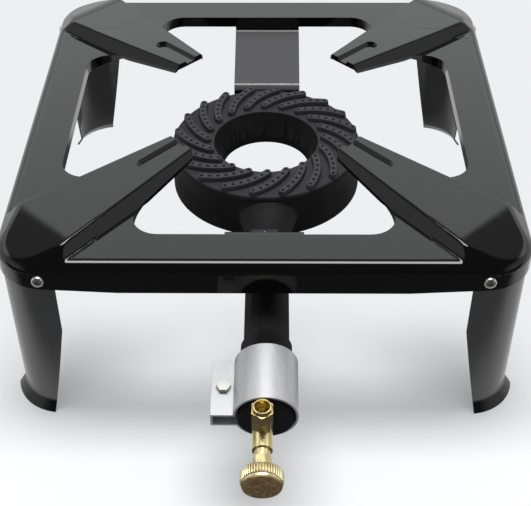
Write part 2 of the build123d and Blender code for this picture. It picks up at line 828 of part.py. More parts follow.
with BuildPart() as inlet_nut:
    with BuildSketch(inlet_plane.offset(inlet_hex_top + thread_gap)):
        RegularPolygon(pipe_nut_flats / 2, 6, major_radius=False, rotation=30)
    extrude(amount=pipe_nut_top - inlet_hex_top)
    with BuildSketch(inlet_plane.offset(pipe_nut_top)):
        Circle(pipe_nut_flats / 2)
    with BuildSketch(inlet_plane.offset(pipe_nut_rim)):
        Circle(pipe_nut_rim_r)
    loft()
    with BuildSketch(Plane(origin=inlet_plane.origin, x_dir=(1, 0, 0), z_dir=tube_axis)):
        with BuildLine():
            Polyline(
                (0, inlet_hex_top),
                (pipe_thread_r + thread_gap, inlet_hex_top),
                (pipe_thread_r + thread_gap, male_top + olive_length / 3),
                (pipe_r, male_top + olive_length),
                (pipe_r, pipe_nut_rim),
                (0, pipe_nut_rim),
                close=True,
            )
        make_face()
    revolve(axis=Axis(inlet_plane.origin, inlet_plane.z_dir), mode=Mode.SUBTRACT)
inlet_nut.part.label = "inlet_nut"

with BuildPart() as inlet_olive:
    with BuildSketch(Plane(origin=inlet_plane.origin, x_dir=(1, 0, 0), z_dir=tube_axis)):
        with BuildLine():
            olive_r = pipe_thread_r - 2 * thread_gap
            Polyline(
                (pipe_r, male_top + thread_gap),
                (olive_r, male_top + olive_length / 6),
                (olive_r, male_top + olive_length / 3),
                (pipe_r, male_top + olive_length - 3 * thread_gap),
                close=True,
            )
        make_face()
    revolve(axis=Axis(inlet_plane.origin, inlet_plane.z_dir))
inlet_olive.part.label = "inlet_olive"

with BuildPart() as gland_packing:
    with BuildSketch(valve_plane.offset(packing_start)):
        Circle(gland_bore_r - thread_gap)
        Circle(spindle_r + spindle_fit, mode=Mode.SUBTRACT)
    extrude(amount=packing_length)
gland_packing.part.label = "gland_packing"

with BuildPart() as gland_nut:
    with BuildSketch(valve_plane.offset(packing_end)):
        Circle(gland_bore_r - thread_gap)
    extrude(amount=valve_body_length - packing_end)
    with BuildSketch(valve_plane.offset(valve_body_length)):
        Circle(gland_collar_r)
    extrude(amount=gland_collar_length)
    with BuildSketch(valve_plane.offset(valve_body_length + gland_collar_length)):
        RegularPolygon(gland_nut_flats / 2, 6, major_radius=False, rotation=gland_nut_turn)
    extrude(amount=gland_nut_length - gland_collar_length)
    with BuildSketch(valve_plane.offset(packing_end)):
        Circle(spindle_r + spindle_fit)
    extrude(amount=valve_body_length + gland_nut_length - packing_end, mode=Mode.SUBTRACT)
gland_nut.part.label = "gland_nut"

with BuildPart() as valve_spindle:
    with BuildSketch(valve_side):
        with BuildLine():
            Polyline(
                (stem_start - needle_length, 0),
                (stem_start - needle_length, needle_tip_r),
                (stem_start, stem_r),
                (spindle_thread_end - spindle_thread_length, stem_r),
                (spindle_thread_end - spindle_thread_length, spindle_thread_r),
                (spindle_thread_end, spindle_thread_r),
                (spindle_thread_end, spindle_r),
                (knob_start - spindle_fit, spindle_r),
                (knob_start - spindle_fit, spindle_post_r),
                (knob_start + knob_bore_depth - spindle_fit, spindle_post_r),
                (knob_start + knob_bore_depth - spindle_fit, 0),
                close=True,
            )
        make_face()
    revolve(axis=valve_line)
valve_spindle.part.label = "valve_spindle"

with BuildPart() as knob:
    with BuildSketch(valve_plane.offset(knob_start)):
        with BuildLine():
            rim = []
            for ridge in range(2 * knob_ridges):
                reach = knob_r - knob_groove_depth * (ridge % 2)
                angle = radians(180 * ridge / knob_ridges)
                rim.append((reach * cos(angle), reach * sin(angle)))
            Polyline(*rim, close=True)
        make_face()
    extrude(amount=knob_length)
    with BuildSketch(valve_side):
        with BuildLine():
            Polyline(
                (knob_start, 0),
                (knob_start, knob_r - knob_chamfer),
                (knob_start + knob_chamfer, knob_r),
                (knob_start + knob_length - knob_chamfer, knob_r),
                (knob_start + knob_length, knob_r - knob_chamfer),
                (knob_start + knob_length, 0),
                close=True,
            )
        make_face()
    revolve(axis=valve_line, mode=Mode.INTERSECT)
    with BuildSketch(valve_plane.offset(knob_start + knob_length)):
        Circle(knob_face_recess_r)
    extrude(amount=-knob_face_recess_depth, mode=Mode.SUBTRACT)
    with BuildSketch(valve_plane.offset(knob_start)):
        Circle(knob_post_r + spindle_fit)
    extrude(amount=knob_bore_depth, mode=Mode.SUBTRACT)
knob.part.label = "knob"

pieces = (
    stand_top,
    leg_front_left,
    leg_front_right,
    leg_back_left,
    leg_back_right,
    leg_screws,
    leg_nuts,
    burner_casting,
    burner_bolts,
    burner_washers,
    air_sleeve,
    sleeve_bolt,
    sleeve_nut,
    valve_body,
    injector_jet,
    inlet_nut,
    inlet_olive,
    gland_packing,
    gland_nut,
    valve_spindle,
    knob,
)
for piece in pieces:
    export_step(piece.part, f"parts/{piece.part.label}.step")
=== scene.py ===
"""Looks of the gas wok burner: enamelled stand, cast swirl ring, aluminium air sleeve and brass needle valve.

Metres throughout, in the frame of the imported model: the floor is z = 0, +Z is up, the ring's centre is at
X = Y = 0 and the valve side faces -Y. Angles that are named values are in degrees.
"""

import logging
import math
from dataclasses import dataclass, field
from enum import Enum
from typing import Callable, Sequence

import bmesh
import bpy
from mathutils import Matrix, Vector


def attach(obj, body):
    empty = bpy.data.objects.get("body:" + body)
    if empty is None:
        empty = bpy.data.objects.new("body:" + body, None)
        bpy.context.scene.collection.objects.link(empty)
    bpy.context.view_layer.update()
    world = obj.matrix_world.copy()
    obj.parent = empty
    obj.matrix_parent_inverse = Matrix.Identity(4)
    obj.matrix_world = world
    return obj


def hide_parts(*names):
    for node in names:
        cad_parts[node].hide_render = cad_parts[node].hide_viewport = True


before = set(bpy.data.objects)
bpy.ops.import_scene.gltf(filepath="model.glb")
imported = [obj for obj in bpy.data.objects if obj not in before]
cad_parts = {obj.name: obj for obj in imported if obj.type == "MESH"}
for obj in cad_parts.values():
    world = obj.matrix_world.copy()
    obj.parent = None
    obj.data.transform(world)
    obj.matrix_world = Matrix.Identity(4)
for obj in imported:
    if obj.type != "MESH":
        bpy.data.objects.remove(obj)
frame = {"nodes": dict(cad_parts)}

log = logging.getLogger("wok_burner")

MM = 0.001
Colour = tuple[float, float, float]


def srgb(red: int, green: int, blue: int) -> Colour:
    """A colour of the photograph, 0 to 255 a channel, as the linear values that a shader takes.

    Args:
        red: Red channel.
        green: Green channel.
        blue: Blue channel.

    Returns:
        The three linear values.
    """
    channels = []
    for value in (red, green, blue):
        part = value / 255
        channels.append(part / 12.92 if part <= 0.04045 else ((part + 0.055) / 1.055) ** 2.4)
    return channels[0], channels[1], channels[2]


def math_node(operation: str, reverse: bool = False) -> Callable[..., "Value"]:
    """Makes a method of Value that adds one Math node.

    Args:
        operation: The Math node's operation.
        reverse: Whether the value is the last operand.

    Returns:
        The method, which takes the other operands.
    """

    def apply(value: "Value", *others: "Value | float") -> "Value":
        """Adds the node to the value's tree."""
        operands = (*others, value) if reverse else (value, *others)
        return value.shader.node("ShaderNodeMath", dict(enumerate(operands)), operation=operation)

    return apply


class Value:
    """A shader value: a node's output socket in its tree, with arithmetic that adds Math nodes.

    Its size is its absolute value, and most is the larger of it and another value.
    """

    __add__ = math_node("ADD")
    __sub__ = math_node("SUBTRACT")
    __rsub__ = math_node("SUBTRACT", reverse=True)
    __mul__ = math_node("MULTIPLY")
    __rtruediv__ = math_node("DIVIDE", reverse=True)
    __pow__ = math_node("POWER")
    sine = math_node("SINE")
    cosine = math_node("COSINE")
    floor = math_node("FLOOR")
    size = math_node("ABSOLUTE")
    most = math_node("MAXIMUM")

    def __init__(self, shader: "Shader", socket: bpy.types.NodeSocket) -> None:
        """Keeps the socket and the shader that it belongs to."""
        self.shader = shader
        self.socket = socket

    def ramp(self, low: float, high: float) -> "Value":
        """Smooth step from 0 at one value to 1 at another.

        Args:
            low: Where the step starts.
            high: Where it ends.

        Returns:
            The step, from 0 to 1.
        """
        inputs = {"Value": self, "From Min": low, "From Max": high}
        settings = {"interpolation_type": "SMOOTHSTEP", "clamp": True}
        return self.shader.node("ShaderNodeMapRange", inputs, "Result", **settings)


class Shader:
    """One node tree, of a material, of the world or of a repeat, and the calls that add nodes to it."""

    def __init__(self, tree: bpy.types.NodeTree) -> None:
        """Empties the tree."""
        self.tree = tree
        tree.nodes.clear()

    def node(
        self, kind: str, inputs: dict | None = None, output: int | str = 0, /, **settings: object
    ) -> Value:
        """Adds a node, with its settings first and its sockets after them.

        Args:
            kind: The node's type.
            inputs: Values or links by socket name or index.
            output: The output that is returned.
            settings: Attributes of the node.

        Returns:
            The chosen output as a value.
        """
        made = self.tree.nodes.new(kind)
        for name, item in settings.items():
            setattr(made, name, item)
        for name, item in (inputs or {}).items():
            socket = made.inputs[name]
            if isinstance(item, Value):
                self.tree.links.new(item.socket, socket)
            else:
                socket.default_value = item
        return Value(self, made.outputs[output])

    def end(self, kind: str, result: Value) -> None:
        """Links a result to the tree's output node.

        Args:
            kind: Type of the output node.
            result: What it takes.
        """
        last = self.tree.nodes.new(kind)
        self.tree.links.new(result.socket, last.inputs[0])

    def place(self) -> Value:
        """Object coordinates, in metres."""
        return self.node("ShaderNodeTexCoord", {}, "Object")

    def axes(self, vector: Value) -> tuple[Value, Value, Value]:
        """The three parts of a vector.

        Args:
            vector: The vector.

        Returns:
            Its X, Y and Z parts.
        """
        first = self.node("ShaderNodeSeparateXYZ", {0: vector})
        outputs = first.socket.node.outputs
        return first, Value(self, outputs[1]), Value(self, outputs[2])

    def noise(self, place: Value, scale: float, detail: float = 2.0, rough: float = 0.5) -> Value:
        """Noise with features of about one over the scale, in metres.

        Args:
            place: Where it is read.
            scale: Features per metre.
            detail: Octaves.
            rough: Weight of the finer octaves.

        Returns:
            Noise about 0.5.
        """
        inputs = {"Vector": place, "Scale": scale, "Detail": detail, "Roughness": rough}
        return self.node("ShaderNodeTexNoise", inputs)

    def mix(self, share: "Value | float", first: "Value | Colour", second: "Value | Colour") -> Value:
        """Blend of two colours.

        Args:
            share: Share of the second, from 0 to 1.
            first: First colour.
            second: Second colour.

        Returns:
            The blended colour.
        """
        colours = [item if isinstance(item, Value) else (*item, 1.0) for item in (first, second)]
        inputs = {0: share, 6: colours[0], 7: colours[1]}
        return self.node("ShaderNodeMix", inputs, 2, data_type="RGBA", clamp_factor=True)

    def bump(self, height: Value, distance: float, strength: float = 1.0) -> Value:
        """Bumped normal.

        Args:
            height: Height, where 1 stands for the distance.
            distance: Real height in metres.
            strength: Share of the effect.

        Returns:
            The normal.
        """
        return self.node("ShaderNodeBump", {"Height": height, "Distance": distance, "Strength": strength})


class Slot(Enum):
    """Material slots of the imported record."""

    ENAMEL = "enamel"
    ZINC = "zinc"
    CAST_IRON = "cast_iron"
    ALUMINIUM = "aluminium"
    BRASS = "brass"
    KNOB_BRASS = "knob_brass"
    PACKING = "packing"


class Body(Enum):
    """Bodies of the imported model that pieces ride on."""

    BURNER = "burner"
    AIR_SHUTTER = "air_shutter"
    SPINDLE = "spindle"
    KNOB = "knob"


@dataclass(frozen=True)
class Finish:
    """A surface finish; its own pattern is plain, and the finishes made from it add theirs."""

    name: str
    colour: Colour
    rough: float
    metallic: float = 0.0
    ior: float = 1.5
    gloss: float = 0.5

    def paint(self, shader: Shader, place: Value) -> dict:
        """Inputs of the Principled shader that vary over the surface.

        Args:
            shader: The tree that takes the nodes.
            place: Object coordinates.

        Returns:
            Values by socket name.
        """
        return {"Roughness": shader.noise(place, 900) * 0.1 + self.rough}

    def material(self) -> bpy.types.Material:
        """The finish as a material, made once.

        Returns:
            The material.
        """
        if self.name in bpy.data.materials:
            return bpy.data.materials[self.name]
        made = bpy.data.materials.new(self.name)
        made.use_nodes = True
        shader = Shader(made.node_tree)
        inputs = {
            "Base Color": (*self.colour, 1.0),
            "Roughness": self.rough,
            "Metallic": self.metallic,
            "IOR": self.ior,
            "Specular IOR Level": self.gloss,
        }
        inputs.update(self.paint(shader, shader.place()))
        surface = shader.node("ShaderNodeBsdfPrincipled", inputs)
        shader.end("ShaderNodeOutputMaterial", surface)
        return made


class Enamel(Finish):
    """Gloss black enamel: a faint orange peel, fine dust, and a rear strap painted grey as a painted
    reflection, with rougher gloss.

    Each border of the strap is a pair, the two ends of a smooth step.
    """

    strap_side = (23.8 * MM, 24.2 * MM)
    strap_front = (70.0 * MM, 70.5 * MM)
    strap_root = (121.3 * MM, 122.0 * MM)

    def paint(self, shader: Shader, place: Value) -> dict:
        """Orange peel, dust and the strap's painted reflection, see Finish."""
        peel = shader.noise(place, 170, 2)
        dust = shader.noise(place, 5200, 1).ramp(0.72, 0.80)
        cloud = shader.noise(place, 24, 3).ramp(0.35, 0.75)
        x, y, _ = shader.axes(place)
        # The rear strap is painted lighter grey, a painted reflection that stands in for the light its faces
        # catch; its roughness is raised too.
        painted_light_area = (1.0 - x.size().ramp(*self.strap_side)) * y.ramp(*self.strap_front)
        strap_sheen = painted_light_area * (1.0 - y.ramp(*self.strap_root))
        strap_sheen_colour = shader.mix(strap_sheen, self.colour, srgb(78, 78, 79))
        return {
            "Roughness": cloud * 0.03 + dust * 0.08 + strap_sheen * 0.12 + self.rough,
            "Base Color": shader.mix(dust * 0.35, strap_sheen_colour, srgb(58, 57, 56)),
            "Normal": shader.bump(peel, 0.02 * MM, 0.5),
        }


class Satin(Finish):
    """Satin black enamel of the legs, thinner than the top's and a little uneven, with its lip painted darker
    as painted shade.
    """

    lip_shade_top = (5.0 * MM, 9.0 * MM)

    def paint(self, shader: Shader, place: Value) -> dict:
        """Uneven gloss and the lip's painted shade, see Finish."""
        cloud = shader.noise(place, 40, 3).ramp(0.3, 0.7)
        peel = shader.noise(place, 420, 2)
        # The lip is painted near black: painted shade that stands in for the dark floor it reflects.
        lip_shade = 1.0 - shader.axes(place)[2].ramp(*self.lip_shade_top)
        satin = shader.mix(cloud * 0.25, self.colour, srgb(60, 60, 62))
        return {
            "Roughness": cloud * 0.05 + self.rough - lip_shade * 0.08,
            "Base Color": shader.mix(lip_shade, satin, srgb(12, 12, 12)),
            "Normal": shader.bump(peel, 0.02 * MM, 0.5),
        }


class CastIron(Finish):
    """Painted cast iron: a sandy skin, with painted light that makes the ring's face lighter and the tops of
    its ribs lighter still.
    """

    lit_face_level = (92.5 * MM, 93.4 * MM)
    lit_rib_level = (94.5 * MM, 96.6 * MM)

    def paint(self, shader: Shader, place: Value) -> dict:
        """Sand cast skin, patchy paint and the painted light on the face and rib tops, see Finish."""
        grain = shader.noise(place, 1500, 4, 0.6)
        patch = shader.noise(place, 60, 3).ramp(0.3, 0.7)
        height = shader.axes(place)[2]
        # Painted light: the ring's upward face is painted lighter than its sides, and the rib tops lighter
        # still.
        face = height.ramp(*self.lit_face_level) * 0.7
        proud = height.ramp(*self.lit_rib_level) * (grain.ramp(0.3, 0.6) * 0.5 + 0.5)
        side = shader.mix(patch * 0.5, self.colour, srgb(34, 33, 35))
        top = shader.mix(face, side, srgb(56, 55, 58))
        return {
            "Base Color": shader.mix(proud * 0.6, top, srgb(66, 65, 68)),
            "Roughness": grain * 0.2 + (self.rough - 0.1),
            "Normal": shader.bump(grain, 0.16 * MM, 0.7),
        }


class Brushed(Finish):
    """Satin aluminium with brush lines along the tube and faint scuffs."""

    stretch = (1.0, 0.06, 1.0)

    def paint(self, shader: Shader, place: Value) -> dict:
        """Brush lines and scuffs, see Finish."""
        inputs = {"Vector": place, "Scale": self.stretch}
        brush = shader.noise(shader.node("ShaderNodeMapping", inputs, vector_type="POINT"), 1700, 3, 0.6)
        scuff = shader.noise(place, 70, 3).ramp(0.45, 0.75)
        return {
            "Roughness": brush * 0.14 + scuff * 0.06 + (self.rough - 0.07),
            "Base Color": shader.mix(brush.ramp(0.3, 0.75) * 0.35, self.colour, srgb(206, 207, 210)),
            "Normal": shader.bump(brush, 0.012 * MM, 0.6),
        }


class Brass(Finish):
    """Turned brass, with a light brown tarnish in patches."""

    def paint(self, shader: Shader, place: Value) -> dict:
        """Tarnish and turning marks, see Finish."""
        patch = shader.noise(place, 240, 3).ramp(0.42, 0.68)
        fine = shader.noise(place, 2600, 2)
        return {
            "Base Color": shader.mix(patch * 0.3, self.colour, srgb(176, 158, 102)),
            "Roughness": patch * 0.10 + fine * 0.06 + self.rough,
            "Normal": shader.bump(fine, 0.004 * MM, 0.4),
        }


class Patina(Finish):
    """Brass dulled brown by handling, in patches."""

    def paint(self, shader: Shader, place: Value) -> dict:
        """Brown patches over dull brass, see Finish."""
        patch = shader.noise(place, 420, 4, 0.65).ramp(0.35, 0.65)
        fine = shader.noise(place, 1800, 3)
        return {
            "Base Color": shader.mix(patch * 0.8, self.colour, srgb(112, 90, 62)),
            "Roughness": patch * 0.15 + fine * 0.10 + self.rough,
            "Normal": shader.bump(fine + patch * 0.6, 0.05 * MM, 0.7),
        }


class Metal(Finish):
    """Plated steel with a slight grain and a yellowish haze."""

    def paint(self, shader: Shader, place: Value) -> dict:
        """Grain of the plating, see Finish."""
        grain = shader.noise(place, 2200, 2)
        haze = shader.noise(place, 300, 2).ramp(0.4, 0.7)
        return {
            "Roughness": grain * 0.12 + self.rough,
            "Base Color": shader.mix(haze * 0.4, self.colour, srgb(196, 194, 184)),
        }


class Palette:
    """The finishes of the burner."""

    enamel = Enamel("enamel_black", (0.0022, 0.0022, 0.0023), 0.045)
    leg = Satin("enamel_leg", (0.036, 0.036, 0.037), 0.17)
    cast = CastIron("cast_graphite", srgb(22, 22, 23), 0.60, gloss=0.11)
    sleeve = Brushed("aluminium_satin", (0.45, 0.45, 0.46), 0.42, 0.6)
    zinc = Metal("zinc_bright", (0.76, 0.76, 0.75), 0.26, 1.0)
    brass = Brass("brass_turned", srgb(234, 218, 164), 0.22, 1.0)
    bright = Brass("brass_bright", srgb(238, 212, 152), 0.16, 1.0)
    knurl = Brass("brass_knurled", srgb(226, 217, 174), 0.32, 1.0)
    face = Patina("brass_dulled", srgb(170, 143, 102), 0.45, 0.7)
    bolt = Metal("zinc_dull", (0.46, 0.46, 0.45), 0.36, 1.0)
    packing = Finish("packing_black", (0.02, 0.02, 0.02), 0.7)


class Forms:
    """Mesh helpers that more than one sub-assembly uses."""

    doubles = 0.0005 * MM

    @staticmethod
    def lathe(form: bmesh.types.BMesh, profile: Sequence[tuple[float, float]], steps: int) -> None:
        """Turns a profile round the z axis; points on the axis become one vertex.

        Args:
            form: Mesh that takes the faces.
            profile: Radius and height of each point, from one end of the axis to the other.
            steps: Segments of a turn.
        """
        rings = []
        for radius, height in profile:
            if radius == 0:
                rings.append([form.verts.new((0, 0, height))] * steps)
            else:
                rings.append(Forms.circle(form, (0, 0), radius, height, steps))
        Forms.bridge(form, rings)

    @staticmethod
    def circle(
        form: bmesh.types.BMesh, middle: Sequence[float], radius: float, height: float, steps: int
    ) -> list[bmesh.types.BMVert]:
        """A level circle of vertices.

        Args:
            form: Mesh that takes them.
            middle: Plan of the circle's middle.
            radius: Its radius.
            height: Its height.
            steps: Number of vertices.

        Returns:
            The vertices in order.
        """
        x, y = middle
        turns = [math.tau * index / steps for index in range(steps)]
        return [form.verts.new((x + radius * math.cos(t), y + radius * math.sin(t), height)) for t in turns]

    @staticmethod
    def bridge(form: bmesh.types.BMesh, loops: Sequence[Sequence[bmesh.types.BMVert]]) -> None:
        """Faces between closed loops of vertices, from each loop to the next.

        Args:
            form: Mesh that takes the faces.
            loops: The loops, of one length; a vertex may stand more than once in a loop.
        """
        for low, high in zip(loops, loops[1:]):
            for index in range(len(low)):
                after = (index + 1) % len(low)
                corners = list(dict.fromkeys((low[index], low[after], high[after], high[index])))
                if len(corners) > 2:
                    form.faces.new(corners)

    @staticmethod
    def plain(form: bmesh.types.BMesh, name: str, finish: Finish) -> bpy.types.Mesh:
        """Turns a form into a mesh as it is, in one finish.

        Args:
            form: The form, which is freed.
            name: Name of the mesh.
            finish: Its finish.

        Returns:
            The mesh.
        """
        made = bpy.data.meshes.new(name)
        form.to_mesh(made)
        form.free()
        made.materials.append(finish.material())
        return made

    @staticmethod
    def mesh(form: bmesh.types.BMesh, name: str, finish: Finish) -> bpy.types.Mesh:
        """Turns a closed form into a mesh, with merged doubles and outward normals.

        Args:
            form: The form, which is freed.
            name: Name of the mesh.
            finish: Its finish.

        Returns:
            The mesh.
        """
        bmesh.ops.remove_doubles(form, verts=form.verts, dist=Forms.doubles)
        bmesh.ops.recalc_face_normals(form, faces=form.faces)
        return Forms.plain(form, name, finish)

    @staticmethod
    def placed(name: str, data: bpy.types.ID) -> bpy.types.Object:
        """A new object in the scene.

        Args:
            name: Its name.
            data: Its mesh, lamp or camera.

        Returns:
            The object.
        """
        made = bpy.data.objects.new(name, data)
        bpy.context.collection.objects.link(made)
        return made

    @staticmethod
    def evaluated(carrier: bpy.types.Object) -> bpy.types.Mesh:
        """A new mesh of an object with its modifiers applied.

        Args:
            carrier: The object.

        Returns:
            The mesh.
        """
        graph = bpy.context.evaluated_depsgraph_get()
        return bpy.data.meshes.new_from_object(carrier.evaluated_get(graph), depsgraph=graph)

    @staticmethod
    def fastened(mesh: bpy.types.Mesh, name: str, angle: float = 35) -> bpy.types.Object:
        """An object for a mesh, shaded smooth up to an angle.

        Args:
            mesh: The mesh.
            name: Name of the object.
            angle: Edges sharper than this, in degrees, stay sharp.

        Returns:
            The object.
        """
        made = Forms.placed(name, mesh)
        mesh.shade_smooth()
        mesh.set_sharp_from_angle(angle=math.radians(angle))
        return made


class Repeat:
    """A Geometry Nodes tree that repeats the mesh that it is put on, with named sizes."""

    def __init__(self, name: str) -> None:
        """Makes the tree with its geometry and finish inputs.

        Args:
            name: Name of the tree.
        """
        self.group = bpy.data.node_groups.new(name, "GeometryNodeTree")
        self.recipe = Shader(self.group)
        self.sockets: dict[str, str] = {}
        self.inputs = self.group.nodes.new("NodeGroupInput")
        self.socket("Piece", "NodeSocketGeometry")
        self.socket("Finish", "NodeSocketMaterial")
        self.group.interface.new_socket(name="Row", in_out="OUTPUT", socket_type="NodeSocketGeometry")

    def socket(self, name: str, kind: str = "NodeSocketFloat") -> Value:
        """Adds an input to the tree.

        Args:
            name: Its name.
            kind: Its socket type.

        Returns:
            The input as a value inside the tree.
        """
        item = self.group.interface.new_socket(name=name, in_out="INPUT", socket_type=kind)
        self.sockets[name] = item.identifier
        return Value(self.recipe, self.inputs.outputs[name])

    def end(self, count: Value, place: Value | None, turn: Value) -> None:
        """Sets the piece on its points, realizes the instances and gives them the finish.

        Args:
            count: Number of pieces.
            place: Position of each, or None for the middle.
            turn: Rotation of each, as XYZ angles.
        """
        recipe = self.recipe
        points = recipe.node("GeometryNodePoints", {"Count": count, **({"Position": place} if place else {})})
        piece = Value(recipe, self.inputs.outputs["Piece"])
        inputs = {"Points": points, "Instance": piece, "Rotation": turn}
        row = recipe.node("GeometryNodeInstanceOnPoints", inputs)
        whole = recipe.node("GeometryNodeRealizeInstances", {"Geometry": row})
        finish = Value(recipe, self.inputs.outputs["Finish"])
        dressed = recipe.node("GeometryNodeSetMaterial", {"Geometry": whole, "Material": finish})
        recipe.end("NodeGroupOutput", dressed)

    def run(self, mesh: bpy.types.Mesh, name: str, finish: Finish, **sizes: float) -> bpy.types.Mesh:
        """Repeats a mesh.

        Args:
            mesh: The piece that is repeated.
            name: Name of the result.
            finish: Finish of the result.
            sizes: Values of the tree's inputs, by name.

        Returns:
            A plain mesh that holds every repeat.
        """
        carrier = Forms.placed(name + "_row", mesh)
        modifier = carrier.modifiers.new("repeat", "NODES")
        modifier.node_group = self.group
        modifier[self.sockets["Finish"]] = finish.material()
        for size, value in sizes.items():
            modifier[self.sockets[size]] = value
        made = Forms.evaluated(carrier)
        made.name = name
        carrier.modifiers.remove(modifier)
        bpy.data.objects.remove(carrier)
        return made


class RoundRepeat(Repeat):
    """Repeats a piece round the z axis."""

    def __init__(self) -> None:
        """Builds the tree: a count and the turn of the first piece."""
        super().__init__("repeat_round_axis")
        count = self.socket("Count", "NodeSocketInt")
        phase = self.socket("Phase")
        index = self.recipe.node("GeometryNodeInputIndex")
        angle = index * (math.tau / count) + phase
        self.end(count, None, self.recipe.node("ShaderNodeCombineXYZ", {"Z": angle}))


class CornerRepeat(Repeat):
    """Repeats a fastener twice in each corner of the stand, its z axis pointing out of the corner's bend."""

    fasteners = 8

    def __init__(self) -> None:
        """Builds the tree: the corner's middle and radius, and the fastener's angle and height."""
        super().__init__("repeat_in_corners")
        reach = self.socket("Reach")
        radius = self.socket("Radius")
        angle = self.socket("Angle")
        height = self.socket("Height")
        recipe = self.recipe
        index = recipe.node("GeometryNodeInputIndex")
        corner = (index * 0.5).floor()
        side = index - corner * 2
        turn = side * (math.pi / 2 - angle * 2) + angle
        quarter = corner * (math.pi / 2)
        x = reach + radius * turn.cosine()
        y = reach + radius * turn.sine()
        place = recipe.node("ShaderNodeCombineXYZ", {"X": x, "Y": y, "Z": height})
        inputs = {"Vector": place, "Angle": quarter}
        turned = recipe.node("ShaderNodeVectorRotate", inputs, rotation_type="Z_AXIS")
        outward = recipe.node("ShaderNodeCombineXYZ", {"Y": math.pi / 2, "Z": turn + quarter})
        self.end(recipe.node("FunctionNodeInputInt", {}, integer=self.fasteners), turned, outward)


